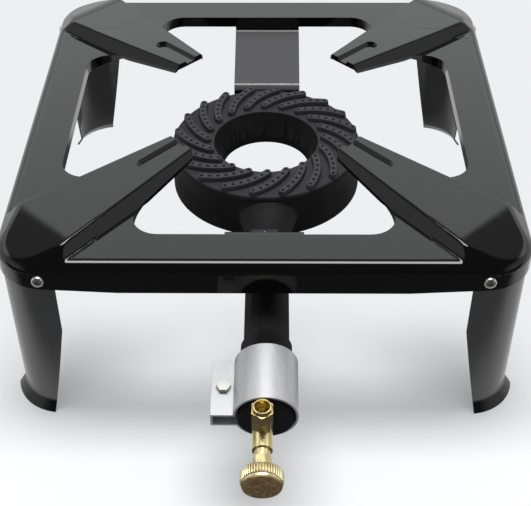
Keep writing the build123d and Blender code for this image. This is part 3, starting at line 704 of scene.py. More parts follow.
@dataclass
class Corner:
    """The stand's corner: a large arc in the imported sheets, and a tighter bend in the photographed ones.

    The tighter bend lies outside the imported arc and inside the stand's square. The values from tip_reach to
    facet_slope describe a raised arm, by the reach from the ring's centre and the distance from the arm's
    middle line. Those that start with soft are the height differences below which two faces are rounded into
    each other, and those that start with cap describe the thin skin that carries the arm's end.
    """

    packed_middle: float = 110.0 * MM
    packed_radius: float = 40.0 * MM
    middle: float = 122.0 * MM
    radius: float = 28.0 * MM
    rail_top: float = 115.8 * MM
    bend: float = 7.0 * MM
    skirt_rise: float = 0.085
    rise_reach: float = 163.0 * MM
    skirt_low: float = 99.0 * MM
    sink_reach: float = 160.0 * MM
    sink_slope: float = 0.07
    sink_most: float = 0.6 * MM
    tip_reach: float = 69.85 * MM
    tip_half: float = 9.7 * MM
    tip_top: float = 125.7 * MM
    spread: float = 0.129
    shift: float = 2.0 * MM
    fall: float = 0.0275
    wall_lean: float = 0.59
    crease_reach: float = 175.0 * MM
    facet_slope: float = 0.355
    soft_crease: float = 2.0 * MM
    soft_edge: float = 1.4 * MM
    soft_clip: float = 1.2 * MM
    soft_foot: float = 0.5 * MM
    cap_start: float = 92.0 * MM
    cap_depth: float = 50.0 * MM
    cap_sheet: float = 0.5 * MM
    cap_proud: float = 0.03 * MM
    cap_sunk: float = 0.12 * MM
    cap_bend_steps: int = 12
    cap_flat_steps: int = 44
    cap_leg_steps: int = 34
    cap_turn_steps: int = 22

    def share(self, angle: float) -> float:
        """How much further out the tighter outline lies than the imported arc.

        Args:
            angle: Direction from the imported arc's middle, in radians, from 0 to a quarter turn.

        Returns:
            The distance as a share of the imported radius.
        """
        shift = self.middle - self.packed_middle
        bend = math.atan2(shift, self.packed_radius)
        if min(angle, math.pi / 2 - angle) < bend:
            return 1 / max(math.cos(angle), math.sin(angle))
        along = shift * (math.cos(angle) + math.sin(angle))
        return (along + math.sqrt(along**2 - 2 * shift**2 + self.radius**2)) / self.packed_radius

    def tighten(self, form: bmesh.types.BMesh) -> None:
        """Moves a packed sheet's corners out to the tighter bend.

        Args:
            form: Copy of the sheet.
        """
        for vert in form.verts:
            x = abs(vert.co.x) - self.packed_middle
            y = abs(vert.co.y) - self.packed_middle
            if x > 0 and y > 0:
                share = self.share(math.atan2(y, x))
                vert.co.x = math.copysign(self.packed_middle + x * share, vert.co.x)
                vert.co.y = math.copysign(self.packed_middle + y * share, vert.co.y)

    def sheet(self, form: bmesh.types.BMesh) -> None:
        """Tightens the top's corners, lets the skirt's lower edge rise towards them and sinks the arms' ends.

        The ends lie under the caps, which carry their softer crease.

        Args:
            form: Copy of the top.
        """
        rise_start = self.rise_reach * math.sqrt(2) - self.packed_middle - self.packed_radius
        cuts = [(Vector(way), rise_start, -1) for way in ((1, 0, 0), (-1, 0, 0), (0, 1, 0), (0, -1, 0))]
        cuts += [(Vector((x, y, 0)).normalized(), self.sink_reach, 1) for x in (-1, 1) for y in (-1, 1)]
        for way, reach, side in cuts:
            level = self.rail_top + side * MM
            faces = [face for face in form.faces if (face.calc_center_median().z - level) * side > 0]
            edges = dict.fromkeys(edge for face in faces for edge in face.edges)
            verts = dict.fromkeys(vert for face in faces for vert in face.verts)
            around = [*verts, *edges, *faces]
            bmesh.ops.bisect_plane(form, geom=around, dist=0.001 * MM, plane_co=way * reach, plane_no=way)
        self.tighten(form)
        for vert in form.verts:
            reach = (abs(vert.co.x) + abs(vert.co.y)) / math.sqrt(2)
            if reach > self.rise_reach and vert.co.z < self.skirt_low:
                vert.co.z += (reach - self.rise_reach) * self.skirt_rise
            if reach > self.sink_reach and vert.co.z > self.rail_top + MM:
                vert.co.z -= min((reach - self.sink_reach) * self.sink_slope, self.sink_most)

    @staticmethod
    def soft_least(first: float, second: float, blend: float) -> float:
        """The smaller of two heights, rounded where they meet.

        Args:
            first: One height.
            second: The other.
            blend: Difference below which they are rounded.

        Returns:
            The height.
        """
        share = max(blend - abs(first - second), 0.0) / blend
        return min(first, second) - share * share * blend / 4

    def height(self, x: float, y: float, inset: float) -> float:
        """Height of the pressed top near the back right corner: the bent rail and the arm that runs over it.

        Args:
            x: Place to the right.
            y: Place to the back.
            inset: Distance inside the stand's outline.

        Returns:
            The height.
        """
        rail = self.rail_top
        if inset < self.bend:
            rail += math.sqrt(max(self.bend**2 - (self.bend - inset) ** 2, 0.0)) - self.bend
        lean = self.bend * math.sqrt(0.5)
        past = inset - (self.bend - lean)
        if past <= 0:
            return rail
        reach = (x + y) / math.sqrt(2)
        across = abs((y - x) / math.sqrt(2) + self.shift)
        plateau = self.tip_top - self.fall * (reach - self.tip_reach)
        crease = self.tip_top - self.fall * (self.crease_reach - self.tip_reach)
        facet = crease - self.facet_slope * (reach - self.crease_reach)
        half = self.tip_half + self.spread * (reach - self.tip_reach)
        arm = self.soft_least(plateau, facet, self.soft_crease)
        arm = self.soft_least(arm, plateau - (across - half) / self.wall_lean, self.soft_edge)
        arm = self.soft_least(arm, self.rail_top - self.bend + lean + past, self.soft_clip)
        foot = self.soft_foot * min(past / self.bend * 2, 1.0)
        return -self.soft_least(-rail, -arm, foot)

    def outline(self, inset: float) -> list[tuple[float, float, float, float]]:
        """The stand's outline round its back right corner, from one rail to the other.

        Args:
            inset: How far inside the outline the line runs.

        Returns:
            Place and outward direction of each point, as x, y, way x and way y.
        """
        side = self.middle + self.radius - inset
        corner = self.middle if inset < self.radius else side
        radius = max(self.radius - inset, 0.0)
        step = (corner - self.cap_start) / self.cap_leg_steps
        leg = [self.cap_start + step * index for index in range(self.cap_leg_steps + 1)]
        points = [(side, along, 1.0, 0.0) for along in leg]
        for index in range(1, self.cap_turn_steps):
            turn = math.pi / 2 * index / self.cap_turn_steps
            way_x, way_y = math.cos(turn), math.sin(turn)
            points.append((corner + radius * way_x, corner + radius * way_y, way_x, way_y))
        return points + [(along, side, 0.0, 1.0) for along in reversed(leg)]

    def caps(self) -> bpy.types.Object:
        """The four corners of the top, where each arm's plateau runs out over the rail and down to its bend.

        Returns:
            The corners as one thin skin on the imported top.
        """
        quarter = math.pi / 2 / self.cap_bend_steps
        insets = [self.bend * (1 - math.cos(quarter * index)) for index in range(self.cap_bend_steps + 1)]
        step = (self.cap_depth - self.bend) / self.cap_flat_steps
        insets += [self.bend + step * index for index in range(1, self.cap_flat_steps + 1)]
        form = bmesh.new()
        for sign_x, sign_y in ((1, 1), (-1, 1), (-1, -1), (1, -1)):
            lines = []
            for inset in insets:
                outward = max(self.bend - inset, 0.0) / self.bend
                upward = math.sqrt(1 - outward**2)
                points = self.outline(inset)
                line = []
                for index, (x, y, way_x, way_y) in enumerate(points):
                    rim = inset in (insets[0], insets[-1]) or index in (0, len(points) - 1)
                    proud = -self.cap_sunk if rim else self.cap_proud
                    z = self.height(x, y, inset) + proud * upward
                    x += way_x * proud * outward
                    y += way_y * proud * outward
                    line.append(form.verts.new((sign_x * x, sign_y * y, z)))
                lines.append(line)
            for outer, inner in zip(lines, lines[1:]):
                for index in range(len(outer) - 1):
                    corners = (outer[index], outer[index + 1], inner[index + 1], inner[index])
                    form.faces.new(corners if sign_x * sign_y > 0 else corners[::-1])
        bmesh.ops.remove_doubles(form, verts=form.verts, dist=Forms.doubles)
        made = Forms.fastened(Forms.plain(form, "stand_corners", Palette.enamel), "stand_corners", 60)
        wall = made.modifiers.new("sheet", "SOLIDIFY")
        wall.thickness = self.cap_sheet
        wall.offset = -1
        return made


@dataclass
class Carried:
    """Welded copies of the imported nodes, with broken edges and normals that follow the larger faces."""

    nodes: dict
    weld: float = 0.002 * MM
    flat: float = 0.5
    crease: float = 28.0

    def form(
        self, node: str, cut: float | None = None, reshape: Callable[[bmesh.types.BMesh], None] | None = None
    ) -> bmesh.types.BMesh:
        """Welded form of a node's mesh.

        Args:
            node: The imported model's node.
            cut: Height above which the form is cut off and capped.
            reshape: Changes the welded form.

        Returns:
            The form.
        """
        form = bmesh.new()
        form.from_mesh(self.nodes[node].data)
        bmesh.ops.remove_doubles(form, verts=form.verts, dist=self.weld)
        if reshape:
            reshape(form)
            bmesh.ops.remove_doubles(form, verts=form.verts, dist=self.weld)
        if cut is not None:
            bmesh.ops.bisect_plane(
                form,
                geom=[*form.verts, *form.edges, *form.faces],
                dist=0.0001 * MM,
                plane_co=(0, 0, cut),
                plane_no=(0, 0, 1),
                clear_outer=True,
            )
            rim = [edge for edge in form.edges if edge.is_boundary and edge.verts[0].co.z > cut - 0.01 * MM]
            bmesh.ops.triangle_fill(form, use_beauty=True, use_dissolve=False, edges=rim, normal=(0, 0, 1))
        bmesh.ops.dissolve_limit(
            form,
            angle_limit=math.radians(self.flat),
            use_dissolve_boundaries=False,
            verts=form.verts,
            edges=form.edges,
        )
        return form

    def dress(
        self,
        node: str,
        finish: Finish,
        slot: Slot,
        body: Body = Body.BURNER,
        edge: float = 0.0,
        cut: float | None = None,
        reshape: Callable[[bmesh.types.BMesh], None] | None = None,
    ) -> bpy.types.Object:
        """Replaces a node by a welded copy of its mesh, dressed in a finish.

        Args:
            node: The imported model's node.
            finish: What the copy is dressed in.
            slot: The record's material slot.
            body: The body that carries it.
            edge: Width of the broken edges; 0 leaves them sharp.
            cut: Height above which the copy is cut off.
            reshape: Changes the welded copy.

        Returns:
            The copy.
        """
        mesh = Forms.plain(self.form(node, cut, reshape), node + "_skin", finish)
        made = Forms.placed(node + "_finished", mesh)
        if edge:
            bevel = made.modifiers.new("edge", "BEVEL")
            bevel.width = edge
            bevel.segments = 2
            bevel.limit_method = "ANGLE"
            bevel.angle_limit = math.radians(self.crease)
        mesh.shade_smooth()
        weighted = made.modifiers.new("normals", "WEIGHTED_NORMAL")
        weighted.keep_sharp = False
        weighted.weight = 60
        seat(made, slot, body, node)
        return made


def seat(piece: bpy.types.Object, slot: Slot, body: Body, *nodes: str) -> None:
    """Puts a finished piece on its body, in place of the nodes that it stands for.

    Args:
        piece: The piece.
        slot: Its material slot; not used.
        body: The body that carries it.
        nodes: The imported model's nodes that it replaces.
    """
    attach(piece, body.value)
    if nodes:
        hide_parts(*nodes)
    log.info("%s: %d faces on %s", piece.name, len(piece.data.polygons), body.value)


@dataclass
class Stand:
    """Pressed enamelled top on four legs, with the M4 screws and nuts of its corners."""

    corner: Corner = field(default_factory=Corner)
    screw_angle: float = 2.03
    screw_height: float = 105.5 * MM
    screw_radius: float = 2.0 * MM
    screw_length: float = 7.3 * MM
    head_radius: float = 3.5 * MM
    head_height: float = 2.4 * MM
    head_rim: float = 0.84 * MM
    head_dome_in: float = 1.344 * MM
    head_dome_up: float = 1.32 * MM
    recess_reach: float = 2.1 * MM
    recess_width: float = 0.5 * MM
    recess_depth: float = 1.8 * MM
    nut_flats: float = 7.0 * MM
    nut_height: float = 3.2 * MM
    nut_seat: float = -2.92 * MM
    nut_chamfer: float = 0.56 * MM
    nut_face: float = 0.97
    nut_steps: int = 48
    thread_gap: float = 0.05 * MM
    edge: float = 0.2 * MM
    legs: tuple[str, ...] = ("leg_front_left", "leg_front_right", "leg_back_left", "leg_back_right")

    def build(self, carried: Carried) -> None:
        """Dresses the pressed sheets and makes the fasteners.

        Args:
            carried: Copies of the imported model's nodes.
        """
        carried.dress("stand_top", Palette.enamel, Slot.ENAMEL, edge=self.edge, reshape=self.corner.sheet)
        seat(self.corner.caps(), Slot.ENAMEL, Body.BURNER)
        for leg in self.legs:
            carried.dress(leg, Palette.leg, Slot.ENAMEL, edge=self.edge, reshape=self.corner.tighten)
        corners = CornerRepeat()
        for name, single in (("leg_screws", self.screw()), ("leg_nuts", self.nut())):
            row = corners.run(
                single,
                name + "_mesh",
                Palette.zinc,
                Reach=self.corner.middle,
                Radius=self.corner.radius,
                Angle=math.radians(self.screw_angle),
                Height=self.screw_height,
            )
            seat(Forms.fastened(row, name + "_finished"), Slot.ZINC, Body.BURNER, name)

    def screw(self) -> bpy.types.Mesh:
        """One pan head screw with a tapered cross recess, its head's seat at z = 0.

        Returns:
            The mesh.
        """
        form = bmesh.new()
        crown = self.head_height
        side = []
        for angle in (0, 25, 50, 72):
            turn = math.radians(angle)
            reach = self.head_radius - self.head_dome_in * (1 - math.cos(turn))
            side.append((reach, self.head_rim + self.head_dome_up * math.sin(turn)))
        profile = [
            (0, -self.screw_length),
            (self.screw_radius * 0.8, -self.screw_length),
            (self.screw_radius, -self.screw_length + 0.4 * MM),
            (self.screw_radius, 0),
            (self.head_radius - 0.1 * MM, 0),
            (self.head_radius, 0.1 * MM),
            *side,
            (self.head_radius * 0.52, crown * 0.975),
            (self.head_radius * 0.25, crown * 0.995),
            (0, crown),
        ]
        Forms.lathe(form, profile, 32)
        blank = Forms.fastened(Forms.mesh(form, "screw_blank", Palette.zinc), "screw_blank")
        cutter = bmesh.new()
        low = self.head_height - self.recess_depth
        high = self.head_height + 0.5 * MM
        for lengthwise in (True, False):
            corners = []
            for height, reach, half in (
                (low, self.recess_reach * 0.45, self.recess_width * 0.7),
                (high, self.recess_reach, self.recess_width),
            ):
                for u, v in ((reach, half), (-reach, half), (-reach, -half), (reach, -half)):
                    x, y = (u, v) if lengthwise else (v, u)
                    corners.append(cutter.verts.new((x, y, height)))
            for ring in ((0, 1, 2, 3), (4, 5, 6, 7), (0, 1, 5, 4), (1, 2, 6, 5), (2, 3, 7, 6), (3, 0, 4, 7)):
                cutter.faces.new([corners[index] for index in ring])
            bmesh.ops.recalc_face_normals(cutter, faces=cutter.faces)
        tool = Forms.placed("recess_cutter", Forms.plain(cutter, "recess_cutter", Palette.zinc))
        cut = blank.modifiers.new("recess", "BOOLEAN")
        cut.operation = "DIFFERENCE"
        cut.solver = "EXACT"
        cut.use_self = True
        cut.object = tool
        made = Forms.evaluated(blank)
        for spent in (blank, tool):
            bpy.data.objects.remove(spent)
        return made

    def nut(self) -> bpy.types.Mesh:
        """One hexagon nut behind the sheet, round the z axis: chamfered on both faces, with a plain bore.

        Returns:
            The mesh.
        """
        form = bmesh.new()
        flank = self.nut_flats / 2
        face = flank * self.nut_face
        corner = flank / math.cos(math.pi / 6)
        bore = self.screw_radius + self.thread_gap
        high = self.nut_seat
        low = high - self.nut_height
        chamfer = self.nut_chamfer
        flanks = [(low, face), (low + chamfer, corner), (high - chamfer, corner), (high, face)]
        rings = []
        for height, most in (*flanks, (high, bore), (low, bore)):
            ring = []
            for index in range(self.nut_steps):
                angle = math.tau * index / self.nut_steps
                part = (angle + math.pi / 6) % (math.pi / 3) - math.pi / 6
                radius = min(flank / math.cos(part), most)
                ring.append(form.verts.new((radius * math.cos(angle), radius * math.sin(angle), height)))
            rings.append(ring)
        Forms.bridge(form, [*rings, rings[0]])
        return Forms.mesh(form, "nut", Palette.zinc)


@dataclass
class Burner:
    """Cast ring with swirl ribs and their ports, its mixing tube, and the two bolts that hold it."""

    ring_top: float = 93.5 * MM
    rib_count: int = 20
    rib_half: float = 2.75 * MM
    rib_height: float = 3.25 * MM
    rib_sunk: float = 0.3 * MM
    rib_draft: float = 8.0
    rib_round: float = 0.5 * MM
    rib_squash: float = 0.85
    rib_phase: float = 1.9
    inner: tuple[float, float] = (38.1 * MM, 0.0)
    middle: tuple[float, float] = (48.8 * MM, 14.3)
    outer: tuple[float, float] = (58.1 * MM, 27.1)
    port_count: int = 7
    port_radius: float = 1.05 * MM
    port_mouth: float = 1.2 * MM
    port_chamfer: float = 0.15 * MM
    port_steps: int = 14
    side_steps: int = 18
    end_steps: int = 8
    throat_radius: float = 30.5 * MM
    throat_bottom: float = 72.0 * MM
    floor_lift: float = 8.5 * MM
    floor_start: float = 50.0 * MM
    floor_end: float = 32.5 * MM
    edge: float = 0.2 * MM

    def build(self, carried: Carried) -> None:
        """Makes the casting with its ribs, and dresses the bolts and washers.

        Args:
            carried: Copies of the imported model's nodes.
        """
        carried.dress(
            "burner_casting", Palette.cast, Slot.CAST_IRON, cut=self.ring_top + 0.02 * MM, reshape=self.dished
        )
        sizes = {"Count": self.rib_count, "Phase": math.radians(self.rib_phase)}
        row = RoundRepeat().run(self.rib(), "swirl_ribs_mesh", Palette.cast, **sizes)
        seat(Forms.fastened(row, "swirl_ribs", 50), Slot.CAST_IRON, Body.BURNER)
        for node in ("burner_bolts", "burner_washers"):
            carried.dress(node, Palette.zinc, Slot.ZINC, edge=self.edge)

    def dished(self, form: bmesh.types.BMesh) -> None:
        """Lifts the ring's underside towards its throat, which is shorter than the ring is high.

        Args:
            form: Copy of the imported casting.
        """
        for vert in form.verts:
            reach = math.hypot(vert.co.x, vert.co.y)
            if vert.co.z > self.throat_bottom + MM or reach > self.floor_start:
                continue
            if reach < self.throat_radius:
                vert.co.z = max(vert.co.z, self.throat_bottom)
                continue
            share = min((self.floor_start - reach) / (self.floor_start - self.floor_end), 1.0)
            vert.co.z += self.floor_lift * share

    def arc(self) -> tuple[Vector, float, float, float]:
        """The rib's middle line: a circle through its inner, middle and outer points.

        Returns:
            The circle's middle, its radius and the angles of the rib's two ends.
        """
        points = []
        for reach, turn in (self.inner, self.middle, self.outer):
            angle = -math.radians(turn)
            points.append(Vector((reach * math.cos(angle), reach * math.sin(angle))))
        corners = list(zip(points, points[1:] + points[:1], points[2:] + points[:2]))
        divisor = 2 * sum(a.x * (b.y - c.y) for a, b, c in corners)
        x = sum(a.length_squared * (b.y - c.y) for a, b, c in corners) / divisor
        y = sum(a.length_squared * (c.x - b.x) for a, b, c in corners) / divisor
        middle = Vector((x, y))
        first = math.atan2(*(points[0] - middle).yx)
        last = math.atan2(*(points[2] - middle).yx)
        last += math.tau * round((first - last) / math.tau)
        return middle, (points[0] - middle).length, first, last

    def slot(self, half: float) -> list[tuple[float, float]]:
        """Outline of a rib: its two sides along the middle line, and its round ends.

        Args:
            half: Half the rib's width.

        Returns:
            The outline's points, once round.
        """
        middle, radius, first, last = self.arc()
        sense = math.copysign(1, last - first)
        points = []
        for start, end, way in ((first, last, 1), (last, first, -1)):
            for index in range(self.side_steps + 1):
                angle = start + (end - start) * index / self.side_steps
                out = Vector((math.cos(angle), math.sin(angle)))
                points.append(middle + out * (radius + half * way))
            along = Vector((-out.y, out.x)) * sense * way
            for index in range(1, self.end_steps):
                swing = math.pi * index / self.end_steps
                toward = out * math.cos(swing) * way + along * math.sin(swing)
                points.append(middle + out * radius + toward * half)
        return [(point.x, point.y) for point in points]

    def rib(self) -> bpy.types.Mesh:
        """One rib: a slot on an arc, with drafted sides, a soft top edge and seven countersunk ports.

        Returns:
            The mesh.
        """
        middle, radius, first, last = self.arc()
        form = bmesh.new()
        top = self.ring_top + self.rib_height
        base = self.ring_top - self.rib_sunk
        edge = top - self.rib_round
        shoulder = self.rib_half - math.tan(math.radians(self.rib_draft)) * (edge - base)
        levels = [(base, self.rib_half), (edge, shoulder)]
        for angle in (22.5, 45, 67.5, 90):
            turn = math.radians(angle)
            half = shoulder - self.rib_round * (1 - math.cos(turn)) * self.rib_squash
            levels.append((edge + self.rib_round * math.sin(turn), half))
        loops = [[form.verts.new((*spot, height)) for spot in self.slot(half)] for height, half in levels]
        Forms.bridge(form, loops)
        mouths = []
        floors = []
        port = (
            (self.port_mouth, top),
            (self.port_radius, top - self.port_chamfer),
            (self.port_radius, base),
        )
        for index in range(self.port_count):
            angle = first + (last - first) * index / (self.port_count - 1)
            spot = middle + Vector((math.cos(angle), math.sin(angle))) * radius
            rings = [Forms.circle(form, spot, reach, height, self.port_steps) for reach, height in port]
            Forms.bridge(form, rings)
            mouths.append(rings[0])
            floors.append(rings[-1])
        for loop, holes in ((loops[-1], mouths), (loops[0], floors)):
            edges = []
            for ring in (loop, *holes):
                for step, vert in enumerate(ring):
                    edges.append(form.edges.get((vert, ring[(step + 1) % len(ring)])))
            bmesh.ops.triangle_fill(form, use_beauty=True, use_dissolve=False, edges=edges, normal=(0, 0, 1))
        return Forms.mesh(form, "swirl_rib", Palette.cast)


@dataclass
class AirShutter:
    """Split aluminium band on the tube, with its clamp bolt and nut."""

    edge: float = 0.2 * MM

    def build(self, carried: Carried) -> None:
        """Dresses the band and its fasteners.

        Args:
            carried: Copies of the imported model's nodes.
        """
        carried.dress("air_sleeve", Palette.sleeve, Slot.ALUMINIUM, Body.AIR_SHUTTER, self.edge)
        for node in ("sleeve_bolt", "sleeve_nut"):
            carried.dress(node, Palette.bolt, Slot.ZINC, Body.AIR_SHUTTER, self.edge)


@dataclass
class Valve:
    """Brass needle valve: inlet nut, body, gland, spindle and knurled knob.

    The knob's lengths run from its back face, which lies at knob_seat.
    """

    edge: float = 0.35 * MM
    fine_edge: float = 0.1 * MM
    knob_seat: tuple[float, float, float] = (0.0, -0.244401, 0.060998)
    slope: float = 5.0
    knob_radius: float = 11.2 * MM
    knob_length: float = 8.8 * MM
    ridge_count: int = 46
    ridge_height: float = 0.5 * MM
    ridge_width: float = 0.95 * MM
    ridge_start: float = 0.45 * MM
    ridge_end: float = 6.4 * MM
    bore_radius: float = 2.05 * MM
    bore_depth: float = 6.0 * MM
    face_recess: float = 0.4 * MM
    face_depth: float = 1.2 * MM
    rim_inset: float = 1.35 * MM

    def build(self, carried: Carried) -> None:
        """Dresses the valve's pieces and makes the knob.

        Args:
            carried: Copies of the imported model's nodes.
        """
        for node in ("valve_body", "gland_nut", "injector_jet"):
            carried.dress(node, Palette.brass, Slot.BRASS, edge=self.edge)
        carried.dress("inlet_olive", Palette.brass, Slot.BRASS, edge=self.fine_edge)
        carried.dress("inlet_nut", Palette.bright, Slot.BRASS, edge=self.edge)
        carried.dress("gland_packing", Palette.packing, Slot.PACKING)
        carried.dress("valve_spindle", Palette.brass, Slot.BRASS, Body.SPINDLE, self.fine_edge)
        self.knob()

    def turned(self) -> Matrix:
        """Where the knob's own axis lies: its back face's middle, with z running down and forward.

        Returns:
            The matrix from the knob's axes to the frame's.
        """
        slope = math.radians(self.slope)
        along = Vector((0, -math.cos(slope), -math.sin(slope)))
        across = Vector((1, 0, 0))
        up = along.cross(across)
        return Matrix.Translation(self.knob_seat) @ Matrix((across, up, along)).transposed().to_4x4()

    def knob(self) -> None:
        """The knob: a turned wheel with a dull recessed face, and straight knurling round it."""
        core = self.knob_radius - self.ridge_height
        length = self.knob_length
        rim = self.knob_radius - self.rim_inset
        profile = [
            (0, self.bore_depth),
            (self.bore_radius, self.bore_depth),
            (self.bore_radius, 0),
            (core - 0.6 * MM, 0),
            (core - 0.1 * MM, 0.25 * MM),
            (core, 0.7 * MM),
            (core, self.ridge_end + 0.1 * MM),
            (core - 0.1 * MM, length - 1.7 * MM),
            (core - 0.25 * MM, length - 1.0 * MM),
            (rim + 0.35 * MM, length - 0.25 * MM),
            (rim, length - 0.05 * MM),
            (rim - 0.4 * MM, length),
            (rim - 1.1 * MM, length),
            (rim - 1.5 * MM, length - 0.1 * MM),
            (rim - 1.8 * MM, length - self.face_recess),
            (rim - 4.8 * MM, length - self.face_recess),
            (rim - 5.1 * MM, length - self.face_recess * 0.4),
            (rim - 5.5 * MM, length - self.face_recess * 0.25),
            (0, length - self.face_recess * 0.1),
        ]
        form = bmesh.new()
        Forms.lathe(form, profile, 96)
        wheel = Forms.mesh(form, "knob_wheel", Palette.knurl)
        wheel.materials.append(Palette.face.material())
        # The grooves between the knurl ridges and the recessed front take the dull brown brass: real patina,
        # and in the grooves also painted shade between the ridges.
        for face in wheel.polygons:
            groove_patina_and_shade = self.ridge_start < face.center.z < self.ridge_end
            if groove_patina_and_shade or face.center.z > length - self.face_depth:
                face.material_index = 1
        wheel.transform(self.turned())
        seat(Forms.fastened(wheel, "knob_wheel", 40), Slot.KNOB_BRASS, Body.KNOB, "knob")
        sizes = {"Count": self.ridge_count, "Phase": 0.0}
        ridges = RoundRepeat().run(self.ridge(core), "knob_knurl_mesh", Palette.knurl, **sizes)
        ridges.transform(self.turned())
        seat(Forms.fastened(ridges, "knob_knurl", 60), Slot.KNOB_BRASS, Body.KNOB)

    def ridge(self, core: float) -> bpy.types.Mesh:
        """One knurl ridge along the wheel's side, sunk a little into it.

        Args:
            core: Radius that the ridge stands on.

        Returns:
            The mesh.
        """
        form = bmesh.new()
        half = self.ridge_width / 2
        sunk = core - 0.2 * MM
        stations = (
            (self.ridge_start, 0.0),
            (self.ridge_start + 0.45 * MM, 1.0),
            (self.ridge_end - 0.6 * MM, 1.0),
            (self.ridge_end, 0.1),
        )
        loops = []
        for height, share in stations:
            tall = core + self.ridge_height * share
            shape = (
                (sunk, -half),
                (core - 0.02 * MM, -half),
                (core + (tall - core) * 0.75, -half * 0.55),
                (tall, -half * 0.2),
                (tall, half * 0.2),
                (core + (tall - core) * 0.75, half * 0.55),
                (core - 0.02 * MM, half),
                (sunk, half),
            )
            loops.append([form.verts.new((x, y, height)) for x, y in shape])
        Forms.bridge(form, loops)
        form.faces.new(loops[0])
        form.faces.new(loops[-1])
        return Forms.mesh(form, "knurl_ridge", Palette.knurl)


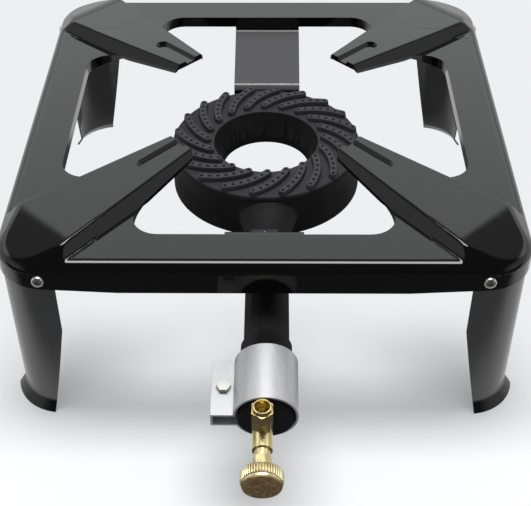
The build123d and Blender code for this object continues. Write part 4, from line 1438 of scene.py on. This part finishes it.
@dataclass
class Studio:
    """Pale floor, an overhead lamp, soft surroundings and the photograph's camera.

    Pairs are the two ends of a smooth step: of a direction's north, east or upward part for the surroundings,
    and in metres for the floor.
    """

    place: tuple[float, float, float] = (0.0070, -0.5858, 0.5052)
    yaw: float = -0.76
    pitch: float = 41.02
    roll: float = -0.36
    lens: float = 73.748
    backdrop: Colour = srgb(238, 239, 241)
    lamp_place: tuple[float, float, float] = (0.0, 0.03, 1.2)
    lamp_width: float = 0.9
    lamp_depth: float = 0.40
    lamp_power: float = 10.5
    sky_colour: Colour = (0.98, 0.99, 1.0)
    wall_rise: tuple[float, float] = (0.30, 0.45)
    wall_end: tuple[float, float] = (0.68, 0.77)
    wall_foot_glow: float = 0.80
    wall_rise_glow: float = 0.65
    wall_end_drop: float = 1.15
    wall_side_lean: float = 0.13
    wall_north: tuple[float, float] = (-0.05, 0.25)
    side_east: tuple[float, float] = (0.55, 0.90)
    side_top: tuple[float, float] = (0.35, 0.70)
    side_glow: float = 0.55
    front_glow: float = 0.55
    front_glossy_less: float = 0.50
    floor_half: float = 6.0
    floor_colour: Colour = (0.80, 0.81, 0.82)
    floor_share: float = 0.83
    floor_reach: tuple[float, float] = (0.25, 0.9)
    floor_front: tuple[float, float] = (0.04, 0.14)
    mirror_glow: float = 0.80
    mirror_least: float = 0.06
    mirror_front: tuple[float, float] = (0.15, 0.21)
    mirror_front_less: float = 0.72
    mirror_shade_under: tuple[float, float] = (0.12, 0.15)
    mirror_shade_under_less: float = 0.70

    def camera(self) -> None:
        """The camera that the photograph was fitted with."""
        yaw, pitch, roll = (math.radians(angle) for angle in (self.yaw, self.pitch, self.roll))
        forward = Vector((math.sin(yaw) * math.cos(pitch), math.cos(yaw) * math.cos(pitch), -math.sin(pitch)))
        right = Vector((math.cos(yaw), -math.sin(yaw), 0))
        up = right.cross(forward)
        across = math.cos(roll) * right + math.sin(roll) * up
        along = math.cos(roll) * up - math.sin(roll) * right
        data = bpy.data.cameras.new("photo_camera")
        data.lens = self.lens
        data.sensor_width = 36
        data.sensor_fit = "HORIZONTAL"
        made = Forms.placed("photo_camera", data)
        turn = Matrix((across, along, -forward)).transposed().to_4x4()
        made.matrix_world = Matrix.Translation(self.place) @ turn
        bpy.context.scene.camera = made

    def lamp(self) -> None:
        """The long soft lamp that hangs over the stand."""
        data = bpy.data.lights.new("overhead", "AREA")
        data.shape = "RECTANGLE"
        data.size = self.lamp_width
        data.size_y = self.lamp_depth
        data.energy = self.lamp_power * self.lamp_width * self.lamp_depth * math.pi
        Forms.placed("overhead", data).location = self.lamp_place

    def surroundings(self) -> None:
        """Soft light from all round: a bright wall behind, pale sides and a dark front."""
        world = bpy.data.worlds.new("studio")
        bpy.context.scene.world = world
        world.use_nodes = True
        shader = Shader(world.node_tree)
        way = shader.node("ShaderNodeTexCoord", {}, "Generated")
        east, north, height = shader.axes(way)
        steep = height + east.size() * self.wall_side_lean
        risen = height.ramp(*self.wall_rise) * self.wall_rise_glow
        wall = risen - steep.ramp(*self.wall_end) * self.wall_end_drop
        behind = north.ramp(*self.wall_north)
        sides = east.size().ramp(*self.side_east) * (1.0 - height.ramp(*self.side_top)) * self.side_glow
        glossy = shader.node("ShaderNodeLightPath", {}, "Is Glossy Ray")
        front = self.front_glow - glossy * self.front_glossy_less
        glow = (behind * (wall + self.wall_foot_glow)).most(sides + front)
        light = shader.node("ShaderNodeBackground", {"Color": (*self.sky_colour, 1.0), "Strength": glow})
        back = shader.node("ShaderNodeBackground", {"Color": (*self.backdrop, 1.0), "Strength": 1.0})
        rays = shader.node("ShaderNodeLightPath", {}, "Is Camera Ray")
        both = shader.node("ShaderNodeMixShader", {0: rays, 1: light, 2: back})
        shader.end("ShaderNodeOutputWorld", both)

    def floor(self) -> None:
        """A pale floor with the soft shadow; glossy enamel sees it dark in front, and under the burner it
        carries painted shade.
        """
        mesh = bpy.data.meshes.new("floor")
        half = self.floor_half
        corners = [(east * half, north * half, 0.0) for east, north in ((-1, -1), (1, -1), (1, 1), (-1, 1))]
        mesh.from_pydata(corners, [], [range(4)])
        made = Forms.placed("floor", mesh)
        paint = bpy.data.materials.new("floor_pale")
        paint.use_nodes = True
        shader = Shader(paint.node_tree)
        x, y, _ = shader.axes(shader.place())
        away = (x * x + y * y) ** 0.5
        pale = shader.node("ShaderNodeBsdfDiffuse", {"Color": (*self.floor_colour, 1.0)})
        glow = shader.node("ShaderNodeEmission", {"Color": (*self.backdrop, 1.0), "Strength": 1.0})
        forward = 0.0 - y
        share = (1.0 - away.ramp(*self.floor_reach)) * forward.ramp(*self.floor_front) * self.floor_share
        seen = shader.node("ShaderNodeMixShader", {0: share, 1: glow, 2: pale})
        dark = forward.ramp(*self.mirror_front) * self.mirror_front_less
        # Painted shade: under the burner, the floor that glossy rays see is dimmed to stand in for the
        # stand's shade over it.
        painted_light_area = (1.0 - x.size().ramp(*self.mirror_shade_under)) * (1.0 - y.size().ramp(*self.mirror_shade_under))
        bright = (self.mirror_glow - dark - painted_light_area * self.mirror_shade_under_less).most(self.mirror_least)
        mirrored = shader.node("ShaderNodeEmission", {"Color": (1.0, 1.0, 1.0, 1.0), "Strength": bright})
        glossy = shader.node("ShaderNodeLightPath", {}, "Is Glossy Ray")
        rays = shader.node("ShaderNodeLightPath", {}, "Is Camera Ray")
        unseen = shader.node("ShaderNodeMixShader", {0: glossy, 1: pale, 2: mirrored})
        both = shader.node("ShaderNodeMixShader", {0: rays, 1: unseen, 2: seen})
        shader.end("ShaderNodeOutputMaterial", both)
        mesh.materials.append(paint)


def main() -> None:
    """Builds the burner's looks and the studio round it."""
    logging.basicConfig(level=logging.INFO)
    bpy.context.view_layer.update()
    bpy.context.scene.view_settings.view_transform = "Standard"
    studio = Studio()
    studio.camera()
    studio.lamp()
    studio.surroundings()
    studio.floor()
    carried = Carried(frame["nodes"])
    for part in (Stand(), Burner(), AirShutter(), Valve()):
        log.info("%s", type(part).__name__)
        part.build(carried)


if __name__ == "__main__":
    main()
